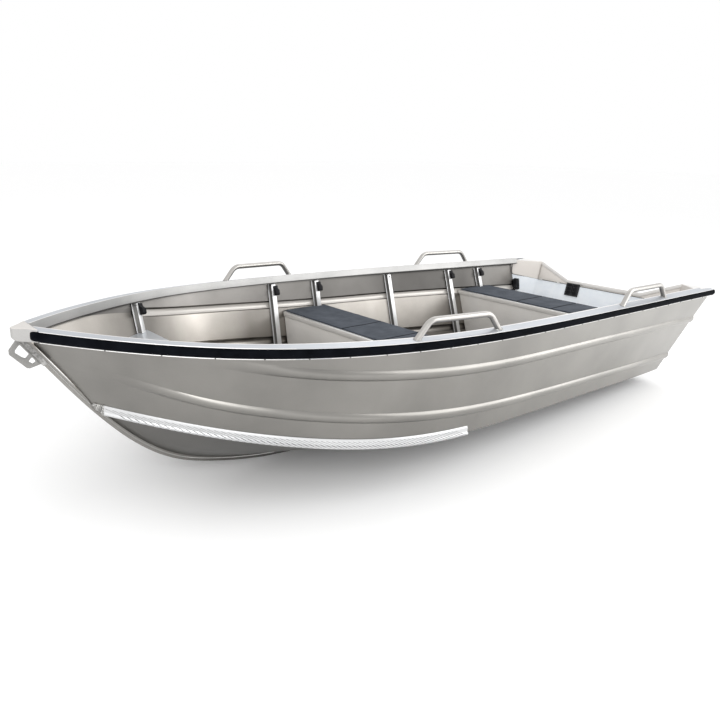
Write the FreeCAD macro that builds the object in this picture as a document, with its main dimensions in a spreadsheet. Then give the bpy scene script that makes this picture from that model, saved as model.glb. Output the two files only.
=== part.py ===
import FreeCAD, Part

import math
import os
import re

import Sketcher
from FreeCAD import Placement, Rotation, Vector

# Open aluminium rowing boat with a V bottom, two pressed swages along each side, two thwarts and a bow locker.
# Lengths are in millimetres. X points to the bow, Y to port and Z up.
# The hull is laid out from the foot of the transom: x = 0 at the transom's top edge, z = 0 at the keel.
# Each sub-part's Placement then brings the origin to the centre of the waterline.


# Driving dimensions

SIZES = {
    # Hull
    "hull_length": 3700,
    "half_breadth": 744,
    "bow_height": 735,
    "transom_rake": 146,
    "waterline_height": 92,
    "origin_forward": 1480,
    "side_sheet": 2,
    "bottom_sheet": 2.5,
    "seat_gap": 0.3,
    "floor_clearance": 0.8,
    "run_past": 60,
    # Pressed swages
    "swage_height": 44,
    "swage_depth": 11,
    "keel_line_width": 26,
    "keel_line_depth": 4,
    # Keel and stem bar
    "keel_bar_width": 26,
    "keel_bar_depth": 22,
    "keel_bar_show": 14,
    # Gunwale extrusion, rubber and its end cap
    "gunwale_width": 42,
    "gunwale_height": 42,
    "gunwale_wall": 3,
    "gunwale_nose": 4,
    "gunwale_inner_lip": 40,
    "rubber_depth": 14,
    "end_cap_length": 30,
    "rubber_overrun": 22,
    # Chine strip
    "strip_height": 36,
    "strip_flange": 14,
    "strip_wall": 3,
    "strip_step": 8,
    # Bow casting
    "casting_length": 67,
    "casting_shoulder": 29,
    "casting_height": 47,
    "casting_front_width": 22,
    "casting_corner": 16,
    # Towing plate and the channel behind it
    "eye_plate_length": 116,
    "eye_plate_reach": 58,
    "eye_plate_thickness": 8,
    "eye_plate_corner": 4,
    "channel_width": 42,
    "channel_wall": 4,
    "channel_end": 9,
    # Transom
    "transom_thickness": 4,
    "transom_cap_wall": 3,
    "transom_cap_leg": 22,
    "cut_half_width": 257,
    "cut_depth": 93,
    "wing_width": 177,
    "board_thickness": 18,
    "board_drop": 123,
    "board_depth": 262,
    # Stern knees, between the wings and the sides
    "knee_reach": 125,
    "knee_sheet": 3,
    # Motor pad on the board
    "motor_pad_width": 97,
    "motor_pad_height": 82,
    "motor_pad_rise": 12,
    "motor_pad_thickness": 9,
    "motor_pad_centre": 196,
    "motor_pad_groove": 7,
    "motor_pad_groove_depth": 4,
    # Corner brackets beside the board
    "bracket_forward": 172,
    "bracket_length": 46,
    "bracket_width": 34,
    "bracket_height": 74,
    "bracket_step": 14,
    # Side posts and bottom ribs
    "post_width": 50,
    "post_crown": 28,
    "post_depth": 22,
    "post_flange": 2.5,
    "bottom_rib_height": 20,
    "front_post_clearance": 68,
    "aft_post_clearance": 82,
    "front_post_inset": 47,
    "aft_post_inset": 80,
    "bow_post_inset": 43,
    # Hooks on the posts
    "clip_width": 27,
    "clip_height": 54,
    "clip_depth": 20,
    "clip_wall": 6,
    "clip_drop": 14,
    # Thwarts
    "seat_sheet": 2.5,
    "seat_lip": 26,
    "seat_overhang": 6,
    "front_thwart_width": 285,
    "front_thwart_drop": 185,
    "aft_thwart_width": 276,
    "aft_thwart_drop": 165,
    # Bow locker
    "locker_setback": 683,
    "locker_length": 340,
    "locker_drop": 165,
    "locker_sheet": 3,
    # Foam pads
    "pad_thickness": 9,
    "pad_margin": 8,
    "pad_seam": 3,
    # Grab handles
    "handle_tube": 22,
    "handle_height": 68,
    "handle_lean": 57,
    "handle_bend": 34,
    "front_handle_length": 430,
    "aft_handle_length": 450,
}

# Hull lines, as shares of the hull length, the half breadth and the bow height

STATION_SHARES = (-0.03, 0.0, 0.1, 0.2, 0.3, 0.4, 0.5, 0.6, 0.7, 0.8, 0.85, 0.9, 0.95, 1.0)
SHEER_BREADTH_SHARES = (
    0.886, 0.894, 0.919, 0.944, 0.968, 0.989, 1.0,
    0.987, 0.925, 0.786, 0.669, 0.509, 0.306, 0.055,
)
SHEER_HEIGHT_SHARES = (
    0.777, 0.782, 0.799, 0.814, 0.83, 0.845, 0.86,
    0.878, 0.898, 0.924, 0.939, 0.956, 0.977, 1.0,
)
CHINE_BREADTH_SHARES = (
    0.606, 0.624, 0.684, 0.731, 0.772, 0.812, 0.849,
    0.868, 0.81, 0.599, 0.426, 0.204, -0.055, -0.327,
)
CHINE_HEIGHT_SHARES = (
    0.056, 0.067, 0.102, 0.133, 0.163, 0.19, 0.219,
    0.254, 0.305, 0.378, 0.424, 0.479, 0.541, 0.612,
)
KEEL_STATION_SHARES = (-0.03, 0.0, 0.15, 0.3, 0.5, 0.6, 0.7, 0.75, 0.8, 0.85, 0.9, 0.95, 1.0, 1.01)
KEEL_HEIGHT_SHARES = (
    0.0, 0.0, 0.0, 0.0, -0.013, -0.022, -0.023,
    0.003, 0.054, 0.138, 0.313, 0.589, 0.926, 0.997,
)

# Lean of the gunwale, as a share of the side's own flare, and the least turn between them, in radians
RAIL_STATION_SHARES = (-0.03, 0.25, 0.54, 0.66, 0.76, 0.82, 0.88, 1.0)
RAIL_LEAN_SHARES = (0.8, 0.95, 1.0, 0.9, 0.55, 0.25, 0.12, 0.12)
LEAST_TURN = 0.017

# Aft ends of the thwarts and handles, and the middle post, along the hull
FRONT_THWART_SHARE = 0.489
AFT_THWART_SHARE = 0.113
MIDDLE_POST_SHARE = 0.351
FRONT_HANDLE_SHARE = 0.552
AFT_HANDLE_SHARE = 0.1635

# Height of each swage up the side, as a share of the way from chine to sheer
SWAGE_STATION_SHARES = (-0.03, 0.2, 0.4, 0.55, 0.7, 0.8, 0.87, 0.94, 1.0)
LOWER_SWAGE_SHARES = (0.178, 0.185, 0.205, 0.235, 0.285, 0.318, 0.375, 0.53, 0.66)
UPPER_SWAGE_SHARES = (0.63, 0.645, 0.655, 0.66, 0.7, 0.755, 0.83, 0.88, 0.9)
LOWER_SWAGE_FADE_SHARES = (0.85, 0.945)
UPPER_SWAGE_FADE_SHARES = (0.77, 0.87)
KEEL_LINE_FADE_SHARES = (0.62, 0.78)
KEEL_LINE_PLACE_SHARE = 0.34
LEAST_FADE_SHARE = 0.03

# Loft stations of the plating, the strip and the stem
PLATING_STATION_SHARES = (
    -0.03, 0.14, 0.29, 0.42, 0.53, 0.61, 0.675, 0.725, 0.77, 0.81, 0.845, 0.875, 0.9, 0.925, 0.95, 0.97, 0.99,
)
BOTTOM_END_SHARE = 0.94
INSIDE_END_SHARE = 0.92
STRIP_END_SHARES = (0.567, 0.932)
STEM_STATION_SHARES = (
    -0.03, 0.1, 0.25, 0.4, 0.55, 0.65, 0.72, 0.78,
    0.83, 0.87, 0.91, 0.94, 0.97, 0.99, 1.01,
)
STEM_CHORD_SHARE = 0.02

# Straight facets round a swage, the keel line, the rubber and a handle's tube, and steps round its bends
SWAGE_FACETS = 4
KEEL_LINE_FACETS = 2
RUBBER_FACETS = 6
HANDLE_FACETS = 12
HANDLE_BEND_STEPS = 5

# Towing plate: outline and openings, as shares of its length down the stem and its reach from it
EYE_PLATE_SHARES = (
    (-0.3, 0.15), (-0.06, 0.15), (0.03, 0.83), (0.14, 1.0), (0.81, 0.82), (0.88, 0.7), (1.0, 0.12),
    (1.0, -0.15), (-0.3, -0.15),
)
LARGE_EYE_SHARES = ((0.105, 0.18), (0.15, 0.6), (0.215, 0.69), (0.465, 0.57), (0.56, 0.48), (0.535, 0.16))
SMALL_EYE_SHARES = ((0.645, 0.155), (0.68, 0.49), (0.835, 0.4), (0.855, 0.17))

# Rubber end cap: how its section shrinks along its length
CAP_LENGTH_SHARES = (0.0, 0.55, 0.85, 1.0)
CAP_SECTION_SHARES = (1.0, 1.0, 0.86, 0.5)

# Seams between the foam pads, as shares of the thwart's half width
PAD_SEAM_SHARES = (-0.28, 0.115, 0.35)

# Grooves down the motor pad, as shares of its half width
MOTOR_PAD_GROOVE_SHARES = (-0.5, 0.0, 0.5)


doc = FreeCAD.newDocument("rowing_boat")
sheet = doc.addObject("Spreadsheet::Sheet", "sizes")
subparts = {}


def enter(row, alias, value):
    """Write one size into the sheet."""
    sheet.set(f"A{row}", alias)
    sheet.set(f"B{row}", str(value))
    sheet.setAlias(f"B{row}", alias)


for row, (alias, value) in enumerate(SIZES.items(), start=1):
    enter(row, alias, value)
doc.recompute()


def size(alias):
    """A driving dimension, read from the sheet."""
    return float(sheet.get(alias))


def hull_placement():
    """The shift from the hull's layout frame to the waterline origin."""
    return Placement(Vector(-size("origin_forward"), 0, -size("waterline_height")), Rotation())


def placed(x, y, z):
    """The layout frame moved along to a point."""
    return hull_placement().multiply(Placement(Vector(x, y, z), Rotation()))


def keep(label, item):
    """Name a finished sub-part."""
    item.Label = label
    subparts[label] = item
    return item


def shape_object(label, shape, placement=None):
    """A document object that holds a shape made by Part's functions."""
    item = doc.addObject("Part::Feature", label)
    item.Shape = shape
    item.Placement = placement or hull_placement()
    return item


def mirrored(label, source):
    """The starboard twin of a port sub-part."""
    twin = doc.addObject("Part::Mirroring", label)
    twin.Source = source
    twin.Normal = Vector(0, 1, 0)
    return keep(label, twin)


def with_twin(name, port):
    """Keep a port sub-part and its starboard twin."""
    keep(f"{name}_port", port)
    mirrored(f"{name}_starboard", port)
    return port


def both_sides(name, shape):
    """Keep a port shape and its starboard mirror image."""
    return with_twin(name, shape_object(f"{name}_port", shape))


# Fair lines of the hull

def place(share):
    """The x of a share of the hull length."""
    return share * size("hull_length")


def fair_line(station_shares, breadth_shares, height_shares):
    """A smooth curve through the offsets, whose parameter is x."""
    places = [place(share) for share in station_shares]
    points = [
        Vector(x, breadth * size("half_breadth"), height * size("bow_height"))
        for x, breadth, height in zip(places, breadth_shares, height_shares)
    ]
    line = Part.BSplineCurve()
    line.interpolate(Points=points, Parameters=places)
    return line


def share_line(station_shares, shares):
    """A smooth run of shares along the hull."""
    places = [place(share) for share in station_shares]
    line = Part.BSplineCurve()
    line.interpolate(Points=[Vector(x, 0, share) for x, share in zip(places, shares)], Parameters=places)
    return line


SHEER = fair_line(STATION_SHARES, SHEER_BREADTH_SHARES, SHEER_HEIGHT_SHARES)
CHINE = fair_line(STATION_SHARES, CHINE_BREADTH_SHARES, CHINE_HEIGHT_SHARES)
KEEL = fair_line(KEEL_STATION_SHARES, [0] * len(KEEL_STATION_SHARES), KEEL_HEIGHT_SHARES)
LOWER_SWAGE = share_line(SWAGE_STATION_SHARES, LOWER_SWAGE_SHARES)
UPPER_SWAGE = share_line(SWAGE_STATION_SHARES, UPPER_SWAGE_SHARES)
RAIL_LEAN = share_line(RAIL_STATION_SHARES, RAIL_LEAN_SHARES)


def below_sheer(x, drop):
    """Height of something hung below the gunwale's top at a station."""
    return SHEER.value(x).z - size(drop)


def side_axes(x):
    """Unit vectors up the side and outboard, in the plane of a station, with the skin's spread in it."""
    up = (SHEER.value(x) - CHINE.value(x)).normalize()
    out = Vector(0, up.z, -up.y)
    slope = SHEER.tangent(x)[0]
    spread = 1 / math.sqrt(1 - slope.y ** 2)
    return up, out, spread


def from_sheer(x, down, outward):
    """A point measured down the side and outboard from the sheer line."""
    up, out, spread = side_axes(x)
    return SHEER.value(x) - up * down + out * (outward * spread)


def from_chine(x, up_side, outward):
    """A point measured up the side and outboard from the chine."""
    up, out, spread = side_axes(x)
    return CHINE.value(x) + up * up_side + out * (outward * spread)


def flare(x):
    """Angle between the side and the vertical, in a station's plane."""
    up = side_axes(x)[0]
    return math.atan2(up.y, up.z)


def rail_lean(x):
    """Angle between the gunwale's web and the vertical."""
    return flare(x) * RAIL_LEAN.value(x).z


def from_rail(x, down, outward):
    """A point measured down the gunwale's web and outboard from the sheer line."""
    lean = rail_lean(x)
    spread = side_axes(x)[2]
    down_step = Vector(0, math.sin(lean), math.cos(lean)) * down
    out_step = Vector(0, math.cos(lean), -math.sin(lean)) * (outward * spread)
    return SHEER.value(x) - down_step + out_step


def skin_outer():
    """How far the side sheet's outer face lies outboard of the sheer line: inside the gunwale's web."""
    return -(size("gunwale_wall") + size("seat_gap"))


def skin_inner():
    return skin_outer() - size("side_sheet")


def skin_top(x, outward):
    """How far down the side a face of its sheet starts, under the gunwale's flange."""
    turn = flare(x) - rail_lean(x)
    depth = -outward * side_axes(x)[2]
    return (size("gunwale_wall") + size("seat_gap") + depth * math.sin(turn)) / math.cos(turn)


def skin_behind_rail(x, down, outward):
    """Where a face of the side sheet lies in the gunwale's frame, a distance down its web."""
    turn = flare(x) - rail_lean(x)
    spread = side_axes(x)[2]
    depth = -outward * spread
    return -((down + depth * math.sin(turn)) * math.tan(turn) + depth * math.cos(turn)) / spread


def side_reach(x, height):
    """Half breadth between the side sheets' inner faces, at a height."""
    up, out, spread = side_axes(x)
    return from_sheer(x, (SHEER.value(x).z - height) / up.z, skin_inner()).y


# Heights and breadths that follow the sheer, entered in the sheet below the driving sizes
FOLLOWING = {
    "wing_height": SHEER.value(0).z,
    "cap_top_half_width": from_sheer(0, 0, skin_inner() - size("seat_gap")).y,
    "cap_foot_half_width": from_sheer(0, size("transom_cap_leg"), skin_inner() - size("seat_gap")).y,
    "wing_inner": SHEER.value(0).y - size("wing_width"),
    "knee_side": from_rail(0, size("gunwale_height"), -size("gunwale_wall")).y - size("seat_gap"),
    "cut_height": below_sheer(0, "cut_depth"),
    "board_height": below_sheer(0, "board_drop"),
    "locker_aft": size("hull_length") - size("locker_setback"),
    "locker_height": below_sheer(size("hull_length") - size("locker_setback"), "locker_drop"),
    "front_thwart_aft": place(FRONT_THWART_SHARE),
    "aft_thwart_aft": place(AFT_THWART_SHARE),
    "front_thwart_height": below_sheer(place(FRONT_THWART_SHARE), "front_thwart_drop"),
    "aft_thwart_height": below_sheer(place(AFT_THWART_SHARE), "aft_thwart_drop"),
}
for row, (alias, value) in enumerate(FOLLOWING.items(), start=len(SIZES) + 1):
    enter(row, alias, value)
doc.recompute()


def fade(x, fade_shares):
    """Depth share of a pressing that runs out between two stations."""
    start, end = (place(share) for share in fade_shares)
    if x <= start:
        return 1.0
    if x >= end:
        return LEAST_FADE_SHARE
    run = (x - start) / (end - start)
    return max(LEAST_FADE_SHARE, 1 - run * run * (3 - 2 * run))


def bead(width, depth, facets):
    """Points along and above a chord that follow a shallow round bead."""
    radius = (width ** 2 / 4 + depth ** 2) / (2 * depth)
    half_angle = math.asin(width / (2 * radius))
    angles = [half_angle * (2 * step / facets - 1) for step in range(facets + 1)]
    return [(radius * math.sin(angle), depth - radius * (1 - math.cos(angle))) for angle in angles]


def closed_wire(points):
    return Part.makePolygon(points + [points[0]])


def loft(wires):
    return Part.makeLoft(wires, True, True)


def faceted(rings):
    """A closed solid with flat faces between similar rings of points, ends included."""
    faces = [Part.Face(closed_wire(rings[0])), Part.Face(closed_wire(rings[-1]))]
    for near, far in zip(rings, rings[1:]):
        for index in range(len(near)):
            following = (index + 1) % len(near)
            faces.append(Part.Face(closed_wire([near[index], near[following], far[following], far[index]])))
    return Part.makeSolid(Part.makeShell(faces))


def box_between(low, high):
    """A box between two corners."""
    extent = high - low
    return Part.makeBox(extent.x, extent.y, extent.z, low)


# Keel and stem bar

def keel_normal(x):
    """Unit vector square to the keel line, pointing into the hull."""
    along = KEEL.tangent(x)[0]
    return Vector(-along.z, 0, along.x)


def keel_point(x, inward):
    return KEEL.value(x) + keel_normal(x) * inward


def keel_height_at(x, inward):
    """Height, at station x, of the keel line moved inward."""
    return KEEL.value(x).z + inward / keel_normal(x).z


def cap_front():
    """How far the transom cap's inner face lies forward of the transom's aft face, with a seat gap."""
    return size("transom_thickness") + size("transom_cap_wall") + size("seat_gap")


def rubber_stations():
    """Loft stations from the transom cap to the bow casting."""
    first = cap_front() + size("transom_cap_wall")
    return [first] + [x for x in map(place, PLATING_STATION_SHARES) if x > 2 * first]


def casting_back():
    return place(PLATING_STATION_SHARES[-1]) + size("seat_gap")


def casting_foot():
    return SHEER.value(casting_back()).z - size("gunwale_height")


def above_casting_foot():
    """Everything over the casting's underside."""
    reach = size("hull_length")
    return box_between(Vector(-reach, -reach, casting_foot() - size("seat_gap")), Vector(2 * reach, reach, reach))


def transom_point(height):
    """A point of the transom's aft face on the centre line."""
    return Vector(size("transom_rake") * (1 - height / size("wing_height")), 0, height)


def transom_frame():
    """The transom's own frame in the hull's layout: Z up its slope, X square to it."""
    lean = math.degrees(math.atan2(size("transom_rake"), size("wing_height")))
    return Placement(Vector(size("transom_rake"), 0, 0), Rotation(Vector(0, 1, 0), -lean))


def aft_of_transom(forward=0):
    """Everything aft of a plane along the transom, moved forward from its aft face."""
    step = Vector(forward, 0, 0)
    low = transom_point(-size("bow_height")) + step
    high = transom_point(2 * size("bow_height")) + step
    far = -size("hull_length")
    face = Part.Face(closed_wire([low, high, Vector(far, 0, high.z), Vector(far, 0, low.z)]))
    face.translate(Vector(0, far, 0))
    return face.extrude(Vector(0, -2 * far, 0))


def keel_bar():
    """Flat bar along the keel and up the stem, as far as the casting."""
    stations = [place(share) for share in STEM_STATION_SHARES]
    outer = Part.BSplineCurve()
    outer.interpolate([KEEL.value(x) for x in stations])
    inner = Part.BSplineCurve()
    inner.interpolate([keel_point(x, size("keel_bar_depth")) for x in stations])
    heel = Part.makeLine(outer.StartPoint, inner.StartPoint)
    head = Part.makeLine(inner.EndPoint, outer.EndPoint)
    face = Part.Face(Part.Wire([outer.toShape(), head, inner.toShape(), heel]))
    face.translate(Vector(0, -size("keel_bar_width") / 2, 0))
    bar = face.extrude(Vector(0, size("keel_bar_width"), 0))
    return bar.cut(aft_of_transom()).cut(above_casting_foot())


def inside_of(breadth):
    """Everything to starboard of a plane."""
    reach = size("hull_length")
    return box_between(Vector(-reach, -reach, -reach), Vector(2 * reach, breadth, reach))


def inside_keel_bar():
    return inside_of(size("keel_bar_width") / 2 + size("seat_gap") / 2)


# Plating

def side_height(x):
    return (SHEER.value(x) - CHINE.value(x)).Length


def side_face(x, outward):
    """One face of the side sheet, from the chine over both swages to the sheer."""
    points = [from_chine(x, 0, outward)]
    for line, fade_shares in ((LOWER_SWAGE, LOWER_SWAGE_FADE_SHARES), (UPPER_SWAGE, UPPER_SWAGE_FADE_SHARES)):
        centre = line.value(x).z * side_height(x)
        depth = size("swage_depth") * fade(x, fade_shares)
        for along, bulge in bead(size("swage_height"), depth, SWAGE_FACETS):
            points.append(from_chine(x, centre + along, outward + bulge))
    points.append(from_sheer(x, skin_top(x, outward), outward))
    return points


def side_section(x):
    return closed_wire(side_face(x, skin_outer()) + side_face(x, skin_inner())[::-1])


def side_panel():
    """Side sheet with two pressed swages that run out towards the bow."""
    panel = loft([side_section(place(share)) for share in PLATING_STATION_SHARES])
    return panel.cut(inside_keel_bar()).cut(aft_of_transom())


def bottom_frame(x):
    """Keel and chine ends of the bottom sheet's outer face, with its unit vectors along and upward."""
    keel = Vector(x, 0, keel_height_at(x, size("keel_bar_show")))
    chine = from_chine(x, 0, skin_inner() - size("seat_gap"))
    along = (chine - keel).normalize()
    up = Vector(0, -along.z, along.y)
    return keel, chine, along, up


def bottom_face(x, upward):
    """One face of the bottom sheet, from the keel to the chine."""
    keel, chine, along, up = bottom_frame(x)
    width = (chine - keel).Length
    line_width = min(size("keel_line_width"), width / 2)
    centre = max(KEEL_LINE_PLACE_SHARE * width, line_width)
    depth = size("keel_line_depth") * fade(x, KEEL_LINE_FADE_SHARES)
    points = [keel + up * upward]
    for across, bulge in bead(line_width, depth, KEEL_LINE_FACETS):
        points.append(keel + along * (centre + across) + up * (upward - bulge))
    points.append(chine + up * upward)
    return points


def bottom_section(x):
    return closed_wire(bottom_face(x, 0) + bottom_face(x, size("bottom_sheet"))[::-1])


def bottom_panel():
    """Bottom sheet from the keel bar to the chine, with one pressed line beside the keel."""
    shares = [share for share in PLATING_STATION_SHARES if share < BOTTOM_END_SHARE]
    panel = loft([bottom_section(place(share)) for share in shares])
    return panel.cut(inside_keel_bar()).cut(aft_of_transom())


def inside_floor(x):
    """A point of the bottom sheet's inner face, raised by a clearance, and the unit vector along it."""
    keel, chine, along, up = bottom_frame(x)
    return keel + up * (size("bottom_sheet") + size("floor_clearance")), along


def inside_height(x, breadth):
    """Height of the floor inside the plating at a breadth, clear of the keel bar."""
    floor, along = inside_floor(x)
    plating = floor.z + (breadth - floor.y) * along.z / along.y
    return max(plating, keel_height_at(x, size("keel_bar_depth")) + size("floor_clearance"))


def inside_corner(x):
    """Where the plating's two inner faces meet at the chine, less a seat gap."""
    floor, along = inside_floor(x)
    rise, out, spread = side_axes(x)
    foot = from_chine(x, 0, skin_inner() - size("seat_gap"))
    run = ((foot.y - floor.y) * rise.z - (foot.z - floor.z) * rise.y) / (along.y * rise.z - along.z * rise.y)
    return floor + along * run


def hull_space():
    """The space inside the plating, which trims what is fitted inside the hull."""
    wires = []
    gap = size("seat_gap")
    keel_half = size("keel_bar_width") / 2
    for x in map(place, (share for share in PLATING_STATION_SHARES if share < INSIDE_END_SHARE)):
        port = [
            Vector(x, keel_half, inside_height(x, keel_half)),
            inside_corner(x),
            from_sheer(x, 0, skin_inner() - gap),
        ]
        starboard = [Vector(x, -point.y, point.z) for point in reversed(port)]
        wires.append(closed_wire(port + starboard))
    return loft(wires).cut(aft_of_transom())


# Gunwale, rubber and chine strip

def gunwale_lip(x):
    """Depth of the inner lip, less where the side sheet comes inboard to meet it."""
    turn = max(flare(x) - rail_lean(x), LEAST_TURN)
    spread = side_axes(x)[2]
    depth = -skin_inner() * spread
    room = (size("gunwale_width") - size("gunwale_wall") - size("floor_clearance")) * spread
    meeting = (room - depth * math.cos(turn)) / math.tan(turn) - depth * math.sin(turn)
    return min(size("gunwale_inner_lip"), meeting)


def gunwale_section(x):
    wall = size("gunwale_wall")
    nose = size("gunwale_nose")
    inner = -size("gunwale_width")
    depth = size("gunwale_height")
    lip = gunwale_lip(x)
    foot = [skin_behind_rail(x, down, skin_outer()) + size("seat_gap") for down in (depth, depth - wall)]
    corners = (
        (0, nose), (wall, nose), (wall, 0), (depth - wall, 0), (depth - wall, nose), (depth, nose),
        (depth, foot[0]), (depth - wall, foot[1]), (depth - 2 * wall, -wall), (wall, -wall),
        (wall, inner + wall), (lip, inner + wall), (lip, inner), (0, inner),
    )
    return closed_wire([from_rail(x, down, out) for down, out in corners])


def knee_wedge():
    """The room of a stern knee, which the gunwale's flange and lip stop short of."""
    front = cap_front()
    grip = size("knee_sheet") + size("seat_gap")
    inner = size("wing_inner")
    far = size("knee_side") + size("seat_gap")
    reach = front + grip + size("knee_reach") * (far - inner) / size("wing_width")
    back = -size("hull_length")
    points = [Vector(back, inner, 0), Vector(front + grip, inner, 0), Vector(reach, far, 0), Vector(back, far, 0)]
    wedge = Part.Face(closed_wire(points)).extrude(Vector(0, 0, 2 * size("bow_height")))
    wedge.Placement = transom_frame()
    return wedge


def gunwale():
    """Extrusion along the sheer: flat top, inner lip, web for the rubber and a foot on the side."""
    rail = loft([gunwale_section(place(share)) for share in PLATING_STATION_SHARES])
    return rail.cut(inside_of(size("seat_gap") / 2)).cut(aft_of_transom(cap_front())).cut(knee_wedge())


def rubber_points(x, share=1):
    """Half-round section of the rubber, at a share of its full size."""
    gap = size("seat_gap")
    height = size("gunwale_height") - 2 * size("gunwale_wall") - 2 * gap
    profile = bead(height * share, (size("rubber_depth") - gap) * share, RUBBER_FACETS)
    middle = size("gunwale_height") / 2
    return [from_rail(x, middle + along, gap + bulge) for along, bulge in profile]


def rubber():
    """Half-round rubber on the gunwale's web, which runs on beside the bow casting."""
    stations = rubber_stations()
    stations.append(stations[-1] + size("rubber_overrun"))
    return loft([closed_wire(rubber_points(x)) for x in stations])


def end_cap():
    """Rounded rubber end where the rub rail meets the transom."""
    first = rubber_stations()[0] - size("seat_gap")
    rings = []
    for length_share, section_share in zip(CAP_LENGTH_SHARES, CAP_SECTION_SHARES):
        aft = Vector(-size("end_cap_length") * length_share, 0, 0)
        rings.append([point + aft for point in rubber_points(first, section_share)])
    return faceted(rings)


def strip_section(x):
    skin = skin_outer() + size("seat_gap")
    wall = size("strip_wall")
    height = size("strip_height")
    flange = size("strip_flange")
    step = size("strip_step")
    corners = (
        (-wall, skin), (-wall, flange - wall), (0, flange), (step, flange), (step + wall, flange / 2),
        (height - step, flange / 2 - wall), (height, skin + wall), (height, skin),
    )
    return closed_wire([from_chine(x, up, out) for up, out in corners])


def chine_strip():
    """Stepped spray strip along the forward chine."""
    first, last = STRIP_END_SHARES
    shares = [share for share in PLATING_STATION_SHARES if first < share < last]
    strip = loft([strip_section(place(share)) for share in (first, *shares, last)])
    return strip.cut(inside_keel_bar())


hull_inside = shape_object("hull_space", hull_space())
both_sides("side_panel", side_panel())
both_sides("bottom_panel", bottom_panel())
both_sides("gunwale", gunwale())
both_sides("rub_rail", rubber())
both_sides("rail_end_cap", end_cap())
both_sides("chine_strip", chine_strip())
keel_bar_object = keep("keel_bar", shape_object("keel_bar", keel_bar()))


# Sketched bodies, bound to the sheet

def bound(text):
    """An expression on the sheet's sizes."""
    return re.sub(r"[a-z]+(?:_[a-z]+)+", lambda name: f"sizes.{name.group()}", text)


def negative(entry):
    return f"-({entry})" if isinstance(entry, str) else -entry


def shares_of(points, across, along):
    """Outline entries from a table of shares and the two sizes they follow."""
    return [(f"{x} * {across}", f"{y} * {along}") for x, y in points]


def new_sketch(body, name, role):
    """A sketch on one of the body's own origin planes."""
    sketch = body.newObject("Sketcher::SketchObject", name)
    plane = next(feature for feature in body.Origin.OriginFeatures if feature.Role == role)
    sketch.AttachmentSupport = (plane, [""])
    sketch.MapMode = "FlatFace"
    return sketch


def value_of(sketch, entry):
    """The number behind an outline entry: an expression's text, or a worked-out length."""
    if isinstance(entry, str):
        result = sketch.evalExpression(bound(entry))
        return float(getattr(result, "Value", result))
    return float(entry)


def outline(sketch, points):
    """A closed outline whose corners are held by constraints on the sheet's sizes."""
    corners = [Vector(value_of(sketch, x), value_of(sketch, y), 0) for x, y in points]
    first = sketch.GeometryCount
    for start, end in zip(corners, corners[1:] + corners[:1]):
        sketch.addGeometry(Part.LineSegment(start, end), False)
    for index in range(len(corners)):
        following = (index + 1) % len(corners)
        sketch.addConstraint(Sketcher.Constraint("Coincident", first + index, 2, first + following, 1))
    for index, (point, corner) in enumerate(zip(points, corners)):
        for kind, entry, number in (("DistanceX", point[0], corner.x), ("DistanceY", point[1], corner.y)):
            held = sketch.addConstraint(Sketcher.Constraint(kind, -1, 1, first + index, 1, number))
            if isinstance(entry, str):
                sketch.setExpression(f"Constraints[{held}]", bound(entry))
    return sketch


def prism(name, role, outlines, length, symmetric=True, placement=None):
    """A body padded from one or more outlines; the later ones are openings."""
    body = doc.addObject("PartDesign::Body", name)
    sketch = new_sketch(body, f"{name}_outline", role)
    for points in outlines:
        outline(sketch, points)
    feature = body.newObject("PartDesign::Pad", f"{name}_pad")
    feature.Profile = sketch
    feature.SideType = "Symmetric" if symmetric else "One side"
    if isinstance(length, str):
        feature.setExpression("Length", bound(length))
    else:
        feature.Length = length
    body.Placement = placement or hull_placement()
    return body


def rounded(body, radius, chosen):
    """Fillet the edges of a body that a rule chooses."""
    doc.recompute()
    tip = body.Tip
    names = [f"Edge{index}" for index, edge in enumerate(tip.Shape.Edges, start=1) if chosen(edge)]
    fillet = body.newObject("PartDesign::Fillet", f"{body.Name}_fillet")
    fillet.Base = (tip, names)
    fillet.setExpression("Radius", bound(radius))
    doc.recompute()
    return body


def cut_from(label, base, *tools):
    """A solid with others cut out of it, one after another."""
    for number, tool in enumerate(tools, start=1):
        cut = doc.addObject("Part::Cut", f"{label}_{number}")
        cut.Base = base
        cut.Tool = tool
        base = cut
    return base


def trimmed(label, item, *others):
    """What lies in the space inside the hull."""
    common = doc.addObject("Part::MultiCommon", label)
    common.Shapes = [item, hull_inside, *others]
    return common


def both_ways(half):
    """An outline's port half, followed by its mirror image."""
    return half + [(negative(x), y) for x, y in reversed(half)]


# Transom

SLOPE = "(sqrt(transom_rake ^ 2 + wing_height ^ 2) / wing_height)"


def transom_placement(forward, height=0):
    """The transom's frame moved forward from its aft face, and up its slope to a height."""
    lean = math.atan2(size("transom_rake"), size("wing_height"))
    step = Placement(Vector(forward, 0, height / math.cos(lean)), Rotation())
    return hull_placement().multiply(transom_frame()).multiply(step)


def up_slope(text):
    return f"({text}) * {SLOPE}"


def transom_edge(outer, drop=""):
    """Port half of the transom's top edge, lowered by a drop."""
    return [
        (outer, up_slope(f"wing_height{drop}")),
        ("wing_inner", up_slope(f"wing_height{drop}")),
        ("cut_half_width", up_slope(f"cut_height{drop}")),
    ]


def transom_sheet():
    points = both_ways([("half_breadth", "-run_past")] + transom_edge("half_breadth", " - transom_cap_wall"))
    return prism("transom_sheet", "YZ_Plane", [points], "transom_thickness", False, transom_placement(0))


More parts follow.
